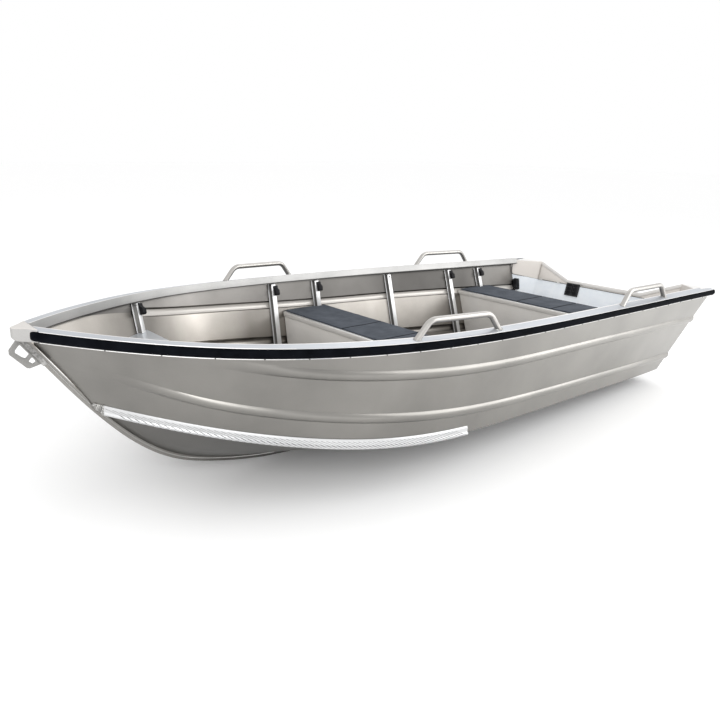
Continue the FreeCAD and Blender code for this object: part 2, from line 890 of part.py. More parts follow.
def transom_cap(plate):
    """Folded capping along the wings, the slopes and the motor cut-out."""
    top = both_ways(transom_edge("cap_top_half_width"))
    foot = both_ways(transom_edge("cap_foot_half_width", " - transom_cap_leg"))
    width = "transom_thickness + 2 * transom_cap_wall"
    forward = transom_placement(-size("transom_cap_wall"))
    band = prism("transom_cap_band", "YZ_Plane", [top + foot[::-1]], width, False, forward)
    return cut_from("transom_cap", band, plate)


def knee_band(front, thickness):
    """Port band in plan, from a wing's inner corner at the transom forward to the side."""
    run = "knee_reach * (half_breadth - wing_inner) / wing_width"
    return [
        (front, "wing_inner"), (f"{front} + {run}", "half_breadth"),
        (f"{front} + {run} + {thickness}", "half_breadth"), (f"{front} + {thickness}", "wing_inner"),
    ]


def transom_board():
    """Board across the inside of the transom, with ends that turn forward to the sides."""
    points = both_ways([
        ("wing_inner", up_slope("board_height - board_depth")),
        ("wing_inner", up_slope("board_height")),
    ])
    slab = prism("board_slab", "YZ_Plane", [points], "board_thickness", False,
                 transom_placement(size("transom_thickness") + size("seat_gap")))
    low = size("board_height") - size("board_depth")
    end = prism("board_end", "XY_Plane", [knee_band("transom_thickness + seat_gap", "board_thickness")],
                up_slope("board_depth"), False, transom_placement(0, low))
    far_end = doc.addObject("Part::Mirroring", "board_far_end")
    far_end.Source = end
    far_end.Normal = Vector(0, 1, 0)
    whole = doc.addObject("Part::MultiFuse", "board_whole")
    whole.Shapes = [slab, end, far_end]
    return trimmed("transom_board", whole)


def stern_knee():
    """Corner sheet from a wing forward to the side, with a flat plate over it."""
    front = "transom_thickness + transom_cap_wall + 2 * seat_gap"
    stand = size("board_height") + size("seat_gap")
    sheet_wall = prism("knee_wall", "XY_Plane", [knee_band(front, "knee_sheet")], up_slope("board_drop"), False,
                       transom_placement(0, stand))
    room = doc.addObject("Part::Box", "knee_room")
    room.setExpression("Length", bound("half_breadth"))
    room.setExpression("Width", bound("knee_side"))
    room.setExpression("Height", bound("wing_height - knee_sheet"))
    room.Placement = placed(0, 0, 0)
    edge = f"({front} + knee_sheet / 2) * {SLOPE}"
    run = "knee_reach * (knee_side - wing_inner) / wing_width"
    points = [(edge, "wing_inner"), (f"{edge} + {run} + knee_sheet", "knee_side"), (edge, "knee_side")]
    plate = prism("knee_plate", "XY_Plane", [points], "knee_sheet", False,
                  placed(0, 0, size("wing_height") - size("knee_sheet")))
    whole = doc.addObject("Part::MultiFuse", "stern_knee_port")
    whole.Shapes = [trimmed("knee_sheet_fitted", sheet_wall, room), plate]
    return whole


def board_front():
    """How far the board's front face lies from the transom's aft face, with a seat gap before it."""
    return size("transom_thickness") + size("board_thickness") + 2 * size("seat_gap")


def motor_pad():
    """Grooved wear pad on the board, standing a little above it."""
    low = up_slope("board_height + motor_pad_rise - motor_pad_height")
    high = up_slope("board_height + motor_pad_rise")
    near = "-(motor_pad_centre - motor_pad_width / 2)"
    far = "-(motor_pad_centre + motor_pad_width / 2)"
    body = prism("motor_pad_slab", "YZ_Plane", [[(near, low), (near, high), (far, high), (far, low)]],
                 "motor_pad_thickness", False, transom_placement(board_front()))
    grooves = []
    for number, share in enumerate(MOTOR_PAD_GROOVE_SHARES, start=1):
        middle = f"-(motor_pad_centre + {share} * motor_pad_width / 2)"
        sides = (f"{middle} - motor_pad_groove / 2", f"{middle} + motor_pad_groove / 2")
        inset = "motor_pad_groove * 2"
        points = [
            (sides[0], f"{low} + {inset}"), (sides[0], f"{high} - {inset}"),
            (sides[1], f"{high} - {inset}"), (sides[1], f"{low} + {inset}"),
        ]
        face = board_front() + size("motor_pad_thickness") - size("motor_pad_groove_depth")
        grooves.append(prism(f"motor_pad_groove_{number}", "YZ_Plane", [points], "run_past", False,
                             transom_placement(face)))
    return cut_from("motor_pad", body, *grooves)


def corner_bracket():
    """Stepped moulding in the corner between the board's end and the side."""
    aft = "bracket_forward - bracket_length"
    points = [
        (aft, "board_height - bracket_height"),
        ("bracket_forward", "board_height - bracket_height"),
        ("bracket_forward", "board_height - bracket_height / 2 - bracket_step / 2"),
        ("bracket_forward - bracket_step", "board_height - bracket_height / 2"),
        ("bracket_forward - bracket_step", "board_height - bracket_step"),
        ("bracket_forward - 2 * bracket_step", "board_height"),
        (aft, "board_height"),
    ]
    block = prism("bracket_block", "XZ_Plane", [points], "2 * half_breadth")
    reach = side_reach(0, size("board_height") - size("bracket_height"))
    span = doc.addObject("Part::Box", "bracket_span")
    span.setExpression("Length", bound("half_breadth"))
    span.setExpression("Width", bound("half_breadth"))
    span.setExpression("Height", bound("bow_height"))
    span.Placement = placed(0, reach - size("bracket_width"), 0)
    behind = "transom_thickness + board_thickness + 2 * seat_gap + bracket_length"
    clearance = prism("bracket_clearance", "XY_Plane", [knee_band("-bracket_length", behind)],
                      up_slope("board_height"), False, transom_placement(0))
    return cut_from("corner_bracket_port", trimmed("bracket_fitted", block, span), clearance)


plate_object = transom_sheet()
keep("transom", trimmed("transom", plate_object))
keep("transom_cap", transom_cap(plate_object))
keep("transom_board", transom_board())
keep("motor_pad", motor_pad())
with_twin("stern_knee", stern_knee())
with_twin("corner_bracket", corner_bracket())


# Side posts and the hooks on them

POST_PLACES = {
    "bow_post": size("locker_aft") + size("bow_post_inset"),
    "front_thwart_fore_post": size("front_thwart_aft") + size("front_thwart_width") + size("front_post_clearance"),
    "front_thwart_post": size("front_thwart_aft") + size("front_post_inset"),
    "middle_post": place(MIDDLE_POST_SHARE),
    "aft_thwart_fore_post": size("aft_thwart_aft") + size("aft_thwart_width") + size("aft_post_clearance"),
    "aft_thwart_post": size("aft_thwart_aft") + size("aft_post_inset"),
}
POST_FEET = {
    "bow_post": "locker_height",
    "front_thwart_post": "front_thwart_height",
    "aft_thwart_post": "aft_thwart_height",
}


def side_frame(x, down):
    """A placement on the side: X forward along it, Y outboard, Z up the side."""
    up, out, spread = side_axes(x)
    along = (SHEER.tangent(x)[0] + CHINE.tangent(x)[0]).normalize()
    outward = up.cross(along).normalize()
    turn = Rotation(outward.cross(up), outward, up, "XYZ")
    return hull_placement().multiply(Placement(from_sheer(x, down, 0), turn))


SKIN = "gunwale_wall + side_sheet + 2 * seat_gap"


def post_outline():
    """Hat section: two flanges on the side sheet and a raised crown."""
    return both_ways([
        ("post_width / 2", "run_past"),
        ("post_width / 2", f"-({SKIN} + post_flange)"),
        ("post_crown / 2 + post_flange", f"-({SKIN} + post_flange)"),
        ("post_crown / 2", f"-({SKIN} + post_depth)"),
    ])


def post_foot(name, x):
    """Height where a post stands: a deck, a seat or the bottom ribs."""
    if name in POST_FEET:
        return size(POST_FEET[name]) + size("seat_gap")
    return inside_corner(x).z + size("bottom_rib_height") + size("seat_gap")


def side_post(name, x):
    height = side_height(x)
    bar = prism(f"{name}_bar", "XY_Plane", [post_outline()], height, False, side_frame(x, height))
    foot = post_foot(name, x)
    span = doc.addObject("Part::Box", f"{name}_span")
    span.setExpression("Length", bound("half_breadth"))
    span.setExpression("Width", bound("2 * half_breadth"))
    span.Height = from_rail(x, size("gunwale_inner_lip") + size("seat_gap"), 0).z - foot
    span.Placement = placed(x - size("half_breadth") / 2, -size("half_breadth"), foot)
    return trimmed(f"{name}_port", bar, span)


def post_hook(name, x):
    """Moulded hook on the aft half of a post: a thin head, a slanting brow and a thick body."""
    face = f"-({SKIN} + post_depth + seat_gap)"
    points = [
        (face, 0),
        (f"{face} - clip_wall", 0),
        (f"{face} - clip_wall", "-clip_height / 4"),
        (f"{face} - clip_depth", "-clip_height / 2"),
        (f"{face} - clip_depth", "-(clip_height - clip_wall)"),
        (f"{face} - (clip_depth - clip_wall)", "-clip_height"),
        (face, "-clip_height"),
    ]
    down = size("gunwale_inner_lip") + size("clip_drop")
    aft = Placement(Vector(-size("post_width") / 2, 0, 0), Rotation())
    frame = side_frame(x, down).multiply(aft)
    return prism(f"{name}_hook", "YZ_Plane", [points], "clip_width", False, frame)


for name, x in POST_PLACES.items():
    with_twin(name, side_post(name, x))

hooks = doc.addObject("Part::Compound", "post_hooks_port")
hooks.Links = [post_hook(name, x) for name, x in POST_PLACES.items() if name != "middle_post"]
with_twin("post_hooks", hooks)


# Bottom ribs

def rib_band(name, x, rise, width):
    """A V-shaped band across the bottom, up to a rise above the plating."""
    corner = inside_corner(x)
    keel_half = size("keel_bar_width") / 2
    top = [(corner.y, corner.z + size(rise)), (keel_half, inside_height(x, keel_half) + size(rise))]
    foot = [(corner.y, -size("run_past")), (keel_half, -size("run_past"))]
    points = both_ways(top) + both_ways(foot)[::-1]
    return prism(name, "YZ_Plane", [points], width, True, placed(x, 0, 0))


def bottom_rib(number, x):
    flange = rib_band(f"rib_flange_{number}", x, "post_flange", "post_width")
    crown = rib_band(f"rib_crown_{number}", x, "bottom_rib_height", "post_crown")
    whole = doc.addObject("Part::MultiFuse", f"rib_{number}")
    whole.Shapes = [flange, crown]
    return trimmed(f"fitted_rib_{number}", whole)


RIB_PLACES = [
    (size("transom_rake") + size("aft_thwart_aft")) / 2,
    POST_PLACES["aft_thwart_fore_post"],
    POST_PLACES["middle_post"],
    (POST_PLACES["middle_post"] + size("front_thwart_aft")) / 2,
    POST_PLACES["front_thwart_fore_post"],
    (POST_PLACES["front_thwart_fore_post"] + size("locker_aft")) / 2,
]
ribs = doc.addObject("Part::Compound", "bottom_ribs")
ribs.Links = [bottom_rib(number, x) for number, x in enumerate(RIB_PLACES, start=1)]
keep("bottom_ribs", ribs)


# Thwarts and bow locker

def riser(name, aft, fore, height, sheet_size):
    """Closed box under a seat or a deck."""
    top = f"{height} - {sheet_size} - seat_gap"
    points = [(aft, "-run_past"), (fore, "-run_past"), (fore, top), (aft, top)]
    return trimmed(name, prism(f"{name}_block", "XZ_Plane", [points], "2 * half_breadth"))


def thwart_seat(name, aft, fore, height):
    """Folded seat sheet with a lip down each long edge."""
    back = f"{aft} - seat_overhang"
    front = f"{fore} + seat_overhang"
    points = [
        (back, f"{height} - seat_lip"),
        (back, height),
        (front, height),
        (front, f"{height} - seat_lip"),
        (f"{front} - seat_sheet", f"{height} - seat_lip"),
        (f"{front} - seat_sheet", f"{height} - seat_sheet"),
        (f"{back} + seat_sheet", f"{height} - seat_sheet"),
        (f"{back} + seat_sheet", f"{height} - seat_lip"),
    ]
    return trimmed(name, prism(f"{name}_fold", "XZ_Plane", [points], "2 * half_breadth"))


def bow_deck():
    back = "locker_aft - seat_overhang"
    points = [
        (back, "locker_height - seat_lip"),
        (back, "locker_height"),
        ("locker_aft + locker_length", "locker_height"),
        ("locker_aft + locker_length", "locker_height - locker_sheet"),
        (f"{back} + locker_sheet", "locker_height - locker_sheet"),
        (f"{back} + locker_sheet", "locker_height - seat_lip"),
    ]
    return trimmed("bow_deck", prism("bow_deck_fold", "XZ_Plane", [points], "2 * half_breadth"))


def seat_pads(name, thwart):
    """Foam pads on a thwart, split by narrow seams and notched round the posts."""
    aft = size(f"{thwart}_aft") + size("pad_margin")
    fore = size(f"{thwart}_aft") + size(f"{thwart}_width") - size("pad_margin")
    height = size(f"{thwart}_height") + size("seat_gap")
    reach = {x: side_reach(x, height) - size("pad_margin") for x in (aft, fore)}
    post = POST_PLACES[f"{thwart}_post"]
    notch = doc.addObject("Part::Box", f"{name}_notch")
    notch.setExpression("Length", bound("post_width + 2 * pad_seam"))
    notch.setExpression("Width", bound("half_breadth"))
    notch.setExpression("Height", bound("2 * run_past"))
    inner = side_reach(post, height) - size("post_depth") - size("pad_seam")
    notch.Placement = placed(post - size("post_width") / 2 - size("pad_seam"), inner, height - size("run_past"))
    twin = doc.addObject("Part::Mirroring", f"{name}_far_notch")
    twin.Source = notch
    twin.Normal = Vector(0, 1, 0)
    seams = (-1,) + PAD_SEAM_SHARES + (1,)
    narrow = min(reach.values())
    for number, (left, right) in enumerate(zip(seams, seams[1:]), start=1):
        low = {x: -reach[x] if left == -1 else left * narrow + size("pad_seam") / 2 for x in reach}
        high = {x: reach[x] if right == 1 else right * narrow - size("pad_seam") / 2 for x in reach}
        points = [(aft, low[aft]), (fore, low[fore]), (fore, high[fore]), (aft, high[aft])]
        item = prism(f"{name}_{number}_slab", "XY_Plane", [points], "pad_thickness", False, placed(0, 0, height))
        if left == -1:
            item = cut_from(f"{name}_{number}", item, twin)
        if right == 1:
            item = cut_from(f"{name}_{number}", item, notch)
        keep(f"{name}_{number}", item)


for thwart in ("front_thwart", "aft_thwart"):
    ends = (f"{thwart}_aft", f"{thwart}_aft + {thwart}_width")
    keep(f"{thwart}_box", riser(f"{thwart}_box", *ends, f"{thwart}_height", "seat_sheet"))
    keep(f"{thwart}_seat", thwart_seat(f"{thwart}_seat", *ends, f"{thwart}_height"))
seat_pads("front_pad", "front_thwart")
seat_pads("aft_pad", "aft_thwart")
keep("bow_locker_box", riser("bow_locker_box", "locker_aft", "locker_aft + locker_length", "locker_height",
                             "locker_sheet"))
keep("bow_deck", bow_deck())


# Bow casting, towing plate and stem channel

def bow_casting():
    """Blunt nose that joins the gunwales, rounded under its front."""
    back = casting_back()
    shoulder = back + size("casting_shoulder")
    port = [
        (back, from_rail(back, size("gunwale_height"), 0).y - size("seat_gap")),
        (shoulder, from_rail(shoulder, size("gunwale_height"), 0).y - size("seat_gap")),
        (back + size("casting_length"), size("casting_front_width") / 2),
    ]
    points = port + [(x, -y) for x, y in reversed(port)]
    body = prism("casting", "XY_Plane", [points], "casting_height", False, placed(0, 0, casting_foot()))

    def under_the_front(edge):
        start, end = (vertex.Point for vertex in edge.Vertexes)
        low = max(start.z, end.z) < size("seat_gap")
        return low and min(start.x, end.x) > back + size("casting_shoulder")

    return rounded(body, "casting_corner", under_the_front)


def stem_frame():
    """Frame at the head of the stem: X down the stem, Y across, Z forward from it."""
    low = place(KEEL_STATION_SHARES[-3])
    high = place(KEEL_STATION_SHARES[-1])
    while high - low > size("seat_gap") / size("hull_length"):
        middle = (low + high) / 2
        if KEEL.value(middle).z < casting_foot():
            low = middle
        else:
            high = middle
    head = KEEL.value(low)
    down = (KEEL.value(low - place(STEM_CHORD_SHARE)) - head).normalize()
    forward = Vector(-down.z, 0, down.x)
    turn = Rotation(down, forward.cross(down), forward, "XYZ")
    return hull_placement().multiply(Placement(head, turn))


head_room = shape_object("head_room", above_casting_foot())


def eye_plate():
    """Towing plate welded to the stem, with one large and one small opening."""
    tables = (EYE_PLATE_SHARES, LARGE_EYE_SHARES, SMALL_EYE_SHARES)
    outlines = [shares_of(table, "eye_plate_length", "eye_plate_reach") for table in tables]
    body = prism("eye_plate_blank", "XZ_Plane", outlines, "eye_plate_thickness", True, stem_frame())
    inner = size("eye_plate_reach") * min(y for x, y in LARGE_EYE_SHARES + SMALL_EYE_SHARES) / 2

    def across(edge):
        start, end = (vertex.Point for vertex in edge.Vertexes)
        return abs(start.y - end.y) > size("eye_plate_thickness") / 2 and start.z > inner and start.x > 0

    rounded(body, "eye_plate_corner", across)
    return cut_from("bow_eye_plate", body, keel_bar_object, head_room)


def stem_channel(plate):
    """Bent channel round the head of the stem, behind the towing plate."""
    half = "channel_width / 2"
    leg = "-(keel_bar_show - seat_gap)"
    points = [
        (half, leg), (half, 0), ("channel_width / 2 - channel_wall", "channel_wall"),
        ("-(channel_width / 2 - channel_wall)", "channel_wall"), (f"-{half}", 0), (f"-{half}", leg),
    ]
    frame = stem_frame().multiply(Placement(Vector(-size("run_past"), 0, 0), Rotation()))
    block = prism("channel_block", "YZ_Plane", [points], "run_past + eye_plate_length + channel_end", False, frame)
    return cut_from("stem_channel", block, keel_bar_object, head_room, plate)


keep("bow_casting", bow_casting())
eye_plate_object = keep("bow_eye_plate", eye_plate())
keep("stem_channel", stem_channel(eye_plate_object))


# Grab handles

def handle_tube(length, tilt):
    """Bent tube in its own frame: X from the aft foot to the forward one, feet cut to the gunwale's tilt."""
    rise = size("handle_height")
    lean = size("handle_lean")
    aft = Vector(0, 0, 0)
    corner = Vector(lean, 0, rise)
    leg = (corner - aft).normalize()
    start = aft - leg * size("run_past")
    turn = leg.getAngle(Vector(1, 0, 0))
    tangent = size("handle_bend") * math.tan(turn / 2)
    bend_in = corner - leg * tangent
    inward = Vector(leg.z, 0, -leg.x)
    centre = bend_in + inward * size("handle_bend")
    half = [(start, leg)]
    for step in range(HANDLE_BEND_STEPS + 1):
        angle = turn * step / HANDLE_BEND_STEPS
        heading = leg * math.cos(angle) + inward * math.sin(angle)
        half.append((centre + Vector(-heading.z, 0, heading.x) * size("handle_bend"), heading))
    spine = half + [(Vector(length - point.x, 0, point.z), Vector(heading.x, 0, -heading.z))
                    for point, heading in reversed(half)]
    side = Vector(0, size("handle_tube") / 2, 0)
    rings = []
    for point, heading in spine:
        turns = [2 * math.pi * step / HANDLE_FACETS for step in range(HANDLE_FACETS)]
        rings.append([point + side * math.cos(angle) + heading.cross(side) * math.sin(angle) for angle in turns])
    whole = faceted(rings)
    below = box_between(Vector(-length, -length, -length), Vector(2 * length, length, 0))
    below.rotate(Vector(0, 0, 0), Vector(1, 0, 0), -tilt)
    return whole.cut(below)


def grab_handle(name, aft):
    """Handle standing on the gunwale's top, both feet on it."""
    middle = -size("gunwale_width") / 2
    heel = from_rail(aft, 0, middle)
    toe = from_rail(aft + size(f"{name}_length"), 0, middle)
    along = (toe - heel).normalize()
    side = Vector(0, 0, 1).cross(along).normalize()
    turn = Rotation(along, side, along.cross(side), "XYZ")
    tube = handle_tube((toe - heel).Length, math.degrees(rail_lean(aft)))
    seat = Placement(heel + Vector(0, 0, 2 * size("seat_gap")), turn)
    with_twin(name, shape_object(f"{name}_port", tube, hull_placement().multiply(seat)))


grab_handle("front_handle", place(FRONT_HANDLE_SHARE))
grab_handle("aft_handle", place(AFT_HANDLE_SHARE))

doc.recompute()


# Checks and export

def check():
    """Stop where an object failed or a shape is empty or broken."""
    for item in doc.Objects:
        if "Invalid" in item.State or "Error" in item.State:
            raise RuntimeError(f"{item.Label} failed: {item.State}")
    for label, item in subparts.items():
        if item.Shape.isNull() or not item.Shape.isValid() or not item.Shape.Solids:
            raise RuntimeError(f"{label} has no valid solid")


check()
os.makedirs("parts", exist_ok=True)
for label, item in subparts.items():
    item.Shape.exportStep(f"parts/{label}.step")
print(len(subparts), "sub-parts")
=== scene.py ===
import math

import bmesh
import bpy
import numpy as np
from mathutils import Matrix, Vector


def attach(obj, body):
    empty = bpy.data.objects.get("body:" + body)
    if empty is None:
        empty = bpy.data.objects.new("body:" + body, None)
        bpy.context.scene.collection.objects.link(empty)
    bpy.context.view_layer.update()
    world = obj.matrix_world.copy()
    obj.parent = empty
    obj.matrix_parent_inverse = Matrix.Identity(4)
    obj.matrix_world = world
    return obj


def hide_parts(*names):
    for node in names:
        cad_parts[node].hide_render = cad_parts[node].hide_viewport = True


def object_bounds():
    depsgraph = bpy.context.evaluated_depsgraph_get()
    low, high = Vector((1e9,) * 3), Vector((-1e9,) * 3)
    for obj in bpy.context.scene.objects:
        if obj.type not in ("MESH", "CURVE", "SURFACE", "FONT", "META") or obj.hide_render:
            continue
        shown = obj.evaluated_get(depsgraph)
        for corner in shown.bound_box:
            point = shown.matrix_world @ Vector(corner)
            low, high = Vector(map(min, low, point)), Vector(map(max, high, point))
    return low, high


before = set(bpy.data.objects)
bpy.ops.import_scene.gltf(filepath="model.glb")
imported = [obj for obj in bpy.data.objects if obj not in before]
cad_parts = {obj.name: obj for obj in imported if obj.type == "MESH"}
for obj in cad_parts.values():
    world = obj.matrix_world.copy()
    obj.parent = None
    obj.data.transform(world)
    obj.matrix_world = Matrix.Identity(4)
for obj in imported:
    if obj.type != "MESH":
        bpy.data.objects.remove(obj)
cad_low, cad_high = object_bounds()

# Open aluminium rowing boat. Lengths in metres, in the part's frame: X to the bow, Y to port, Z up.
# The hull is laid out from the foot of the transom, and ORIGIN brings it to the middle of the waterline.

ORIGIN = np.array([1.48, 0.0, 0.092])
LENGTH = 3.7
BREADTH = 0.744
HEIGHT = 0.735
RAKE = 0.146
MIRROR = np.array([1, -1, 1])
SIDES = (("port", 1), ("starboard", -1))

# Hull lines: stations as shares of LENGTH, breadths of BREADTH, heights of HEIGHT
AFT_END = -0.03
STATIONS = (AFT_END, 0.0, 0.1, 0.2, 0.3, 0.4, 0.5, 0.6, 0.7, 0.8, 0.85, 0.9, 0.95, 1.0)
SHEER_BREADTH = (0.886, 0.894, 0.919, 0.944, 0.968, 0.989, 1.0, 0.987, 0.925, 0.786, 0.669, 0.509, 0.306,
                 0.055)
SHEER_HEIGHT = (0.777, 0.782, 0.799, 0.814, 0.83, 0.845, 0.86, 0.878, 0.898, 0.924, 0.939, 0.956, 0.977, 1.0)
CHINE_BREADTH = (0.606, 0.624, 0.684, 0.731, 0.772, 0.812, 0.849, 0.868, 0.81, 0.599, 0.426, 0.204, -0.055,
                 -0.327)
CHINE_HEIGHT = (0.056, 0.067, 0.102, 0.133, 0.163, 0.19, 0.219, 0.254, 0.305, 0.378, 0.424, 0.479, 0.541,
                0.612)
KEEL_STATIONS = (AFT_END, 0.0, 0.15, 0.3, 0.5, 0.6, 0.7, 0.75, 0.8, 0.85, 0.9, 0.95, 1.0, 1.01)
KEEL_HEIGHT = (0.0, 0.0, 0.0, 0.0, -0.013, -0.022, -0.023, 0.003, 0.054, 0.138, 0.313, 0.589, 0.926, 0.997)
RAIL_STATIONS = (AFT_END, 0.25, 0.54, 0.66, 0.76, 0.82, 0.88, 1.0)
RAIL_LEANS = (0.8, 0.95, 1.0, 0.9, 0.55, 0.25, 0.12, 0.12)
SWAGE_STATIONS = (AFT_END, 0.2, 0.4, 0.55, 0.7, 0.8, 0.87, 0.94, 1.0)
LOWER_SWAGE = (0.178, 0.185, 0.205, 0.235, 0.285, 0.318, 0.375, 0.53, 0.66)
UPPER_SWAGE = (0.63, 0.645, 0.655, 0.66, 0.7, 0.755, 0.83, 0.88, 0.9)
LOWER_FADE = (0.85, 0.945)
UPPER_FADE = (0.77, 0.87)
KEEL_LINE_FADE = (0.62, 0.78)
LEAST_FADE = 0.03

# Sheets, their swages, and the keel and stem bar
GAP = 0.0003
SKIN_OUTER = -0.0033
SHEET = 0.002
BOTTOM_SHEET = 0.0025
SWAGE_WIDTH = 0.044
SWAGE_DEPTH = 0.011
SWAGE_MARGIN = 0.003
SWAGE_FACETS = 14
KEEL_LINE_WIDTH = 0.026
KEEL_LINE_DEPTH = 0.004
KEEL_LINE_PLACE = 0.34
KEEL_LINE_FACETS = 10
BAR_WIDTH = 0.026
BAR_DEPTH = 0.022
BAR_SHOW = 0.014
BAR_END = 0.94

# Gunwale: a web outboard, a flange inboard from its top, a lip that hangs from it, and two outer edges
RAIL_HEIGHT = 0.042
RAIL_WIDTH = 0.042
RAIL_WALL = 0.003
RAIL_EDGE = 0.004
RAIL_ROUND = 0.0011
RAIL_END = 0.99
LIP_DEPTH = 0.04
LIP_ROOM = 0.0008
# Height of the painted shadow line along the foot of the lip
LIP_SHADE = 0.0045
LEAST_TURN = 0.017
RUBBER_DEPTH = 0.014
CAP_FRONT = 0.0073
CAP_CLEAR = 0.003


# Fair lines

def end_slope(xs, ys, at):
    """Slope at one of four points of the cubic through them."""
    total = 0.0
    for i in range(4):
        others = [j for j in range(4) if j != i]
        base = np.prod([xs[i] - xs[j] for j in others])
        rise = sum(np.prod([xs[at] - xs[j] for j in others if j != k]) for k in others)
        total += ys[i] * rise / base
    return total


def fair(stations, values, scale=1.0):
    """A smooth line through values along the hull, as a function of x and its slope."""
    xs = np.array(stations, float) * LENGTH
    ys = np.array(values, float) * scale
    count = len(xs)
    steps = np.diff(xs)
    system = np.zeros((count, count))
    right = np.zeros(count)
    system[0, 0] = system[-1, -1] = 1
    right[0] = end_slope(xs[:4], ys[:4], 0)
    right[-1] = end_slope(xs[-4:], ys[-4:], 3)
    for i in range(1, count - 1):
        before, after = steps[i - 1], steps[i]
        system[i, i - 1] = after
        system[i, i] = 2 * (before + after)
        system[i, i + 1] = before
        right[i] = 3 * (after * (ys[i] - ys[i - 1]) / before + before * (ys[i + 1] - ys[i]) / after)
    slopes = np.linalg.solve(system, right)

    def line(x, slope=False):
        i = int(np.clip(np.searchsorted(xs, x) - 1, 0, count - 2))
        h = steps[i]
        t = (x - xs[i]) / h
        if slope:
            return ((6 * t * t - 6 * t) * (ys[i] - ys[i + 1]) / h
                    + (3 * t * t - 4 * t + 1) * slopes[i] + (3 * t * t - 2 * t) * slopes[i + 1])
        return ((2 * t ** 3 - 3 * t * t + 1) * ys[i] + (t ** 3 - 2 * t * t + t) * h * slopes[i]
                + (3 * t * t - 2 * t ** 3) * ys[i + 1] + (t ** 3 - t * t) * h * slopes[i + 1])

    return line


sheer_y = fair(STATIONS, SHEER_BREADTH, BREADTH)
sheer_z = fair(STATIONS, SHEER_HEIGHT, HEIGHT)
chine_y = fair(STATIONS, CHINE_BREADTH, BREADTH)
chine_z = fair(STATIONS, CHINE_HEIGHT, HEIGHT)
keel_z = fair(KEEL_STATIONS, KEEL_HEIGHT, HEIGHT)
lower_swage = fair(SWAGE_STATIONS, LOWER_SWAGE)
upper_swage = fair(SWAGE_STATIONS, UPPER_SWAGE)
rail_share = fair(RAIL_STATIONS, RAIL_LEANS)


def unit(vector):
    return vector / np.linalg.norm(vector)


def sheer(x):
    return np.array([x, sheer_y(x), sheer_z(x)])


def chine(x):
    return np.array([x, chine_y(x), chine_z(x)])


def side_axes(x):
    """Unit vectors up the side and outboard at a station, with the skin's spread."""
    up = unit(sheer(x) - chine(x))
    out = np.array([0, up[2], -up[1]])
    slope = unit(np.array([1, sheer_y(x, True), sheer_z(x, True)]))
    return up, out, 1 / math.sqrt(1 - slope[1] ** 2)


def from_sheer(x, down, outward):
    up, out, spread = side_axes(x)
    return sheer(x) - up * down + out * outward * spread


def from_chine(x, rise, outward):
    up, out, spread = side_axes(x)
    return chine(x) + up * rise + out * outward * spread


def flare(x):
    """Angle between the side and the vertical at a station."""
    up = side_axes(x)[0]
    return math.atan2(up[1], up[2])


def rail_lean(x):
    """Angle between the gunwale's web and the vertical."""
    return flare(x) * rail_share(x)


def from_rail(x, down, outward):
    """A point measured down the gunwale's web and outboard from the sheer line."""
    lean = rail_lean(x)
    stretch = side_axes(x)[2]
    down_step = np.array([0, math.sin(lean), math.cos(lean)]) * down
    out_step = np.array([0, math.cos(lean), -math.sin(lean)]) * (outward * stretch)
    return sheer(x) - down_step + out_step


def skin_top(x, outward):
    """How far down the side a face of its sheet starts, under the gunwale's flange."""
    turn = flare(x) - rail_lean(x)
    depth = -outward * side_axes(x)[2]
    return (RAIL_WALL + GAP + depth * math.sin(turn)) / math.cos(turn)


def skin_behind_rail(x, down, outward):
    """Where a face of the side sheet lies in the gunwale's frame, a distance down its web."""
    turn = flare(x) - rail_lean(x)
    stretch = side_axes(x)[2]
    depth = -outward * stretch
    return -((down + depth * math.sin(turn)) * math.tan(turn) + depth * math.cos(turn)) / stretch


def side_height(x):
    return float(np.linalg.norm(sheer(x) - chine(x)))


def fade(x, shares):
    """How much of a swage's depth is left where it runs out towards the bow."""
    start, end = shares[0] * LENGTH, shares[1] * LENGTH
    if x <= start:
        return 1.0
    if x >= end:
        return LEAST_FADE
    run = (x - start) / (end - start)
    return max(LEAST_FADE, 1 - run * run * (3 - 2 * run))


def bead(width, depth, facets):
    """Points along a shallow round ridge, as offsets across it and out of the sheet."""
    radius = (width ** 2 / 4 + depth ** 2) / (2 * depth)
    half = math.asin(min(1.0, width / (2 * radius)))
    angles = [half * (2 * step / facets - 1) for step in range(facets + 1)]
    return [(radius * math.sin(a), depth - radius * (1 - math.cos(a))) for a in angles]


def keel_point(x, inward, across=0.0):
    slope = keel_z(x, True)
    normal = unit(np.array([-slope, 0, 1]))
    return np.array([x, across, keel_z(x)]) + normal * inward


def keel_height_at(x, inward):
    slope = keel_z(x, True)
    return keel_z(x) + inward * math.sqrt(1 + slope * slope)


def spaced(start, end, count):
    return list(np.linspace(start, end, count))


def along_hull(*spans):
    """Places along the hull, from spans given as two shares of its length and a count."""
    return [x for start, end, count in spans for x in spaced(start * LENGTH, end * LENGTH, count)]


# Meshes

MERGE = 1e-6
SOLID_MERGE = 1e-5
SHARP_ANGLE = 32
FITTED_SHARP_ANGLE = 35
BEVEL_ANGLE = 28
FLAT_ANGLE = 1.0


def placed(name, data):
    """An object in the scene for a mesh, lamp or camera."""
    item = bpy.data.objects.new(name, data)
    bpy.context.scene.collection.objects.link(item)
    return item


def mesh_from(name, points, faces):
    mesh = bpy.data.meshes.new(name)
    mesh.from_pydata([tuple(p) for p in points], [], faces)
    return mesh


def dress(name, mesh, material, nodes=(), sharp=SHARP_ANGLE):
    """A visible piece from a mesh, which rides on the hull."""
    mesh.validate()
    mesh.update()
    mesh.polygons.foreach_set("use_smooth", [True] * len(mesh.polygons))
    mesh.set_sharp_from_angle(angle=math.radians(sharp))
    mesh.materials.clear()
    mesh.materials.append(material)
    piece = placed(name, mesh)
    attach(piece, "root")
    if nodes:
        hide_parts(*nodes)
    return piece


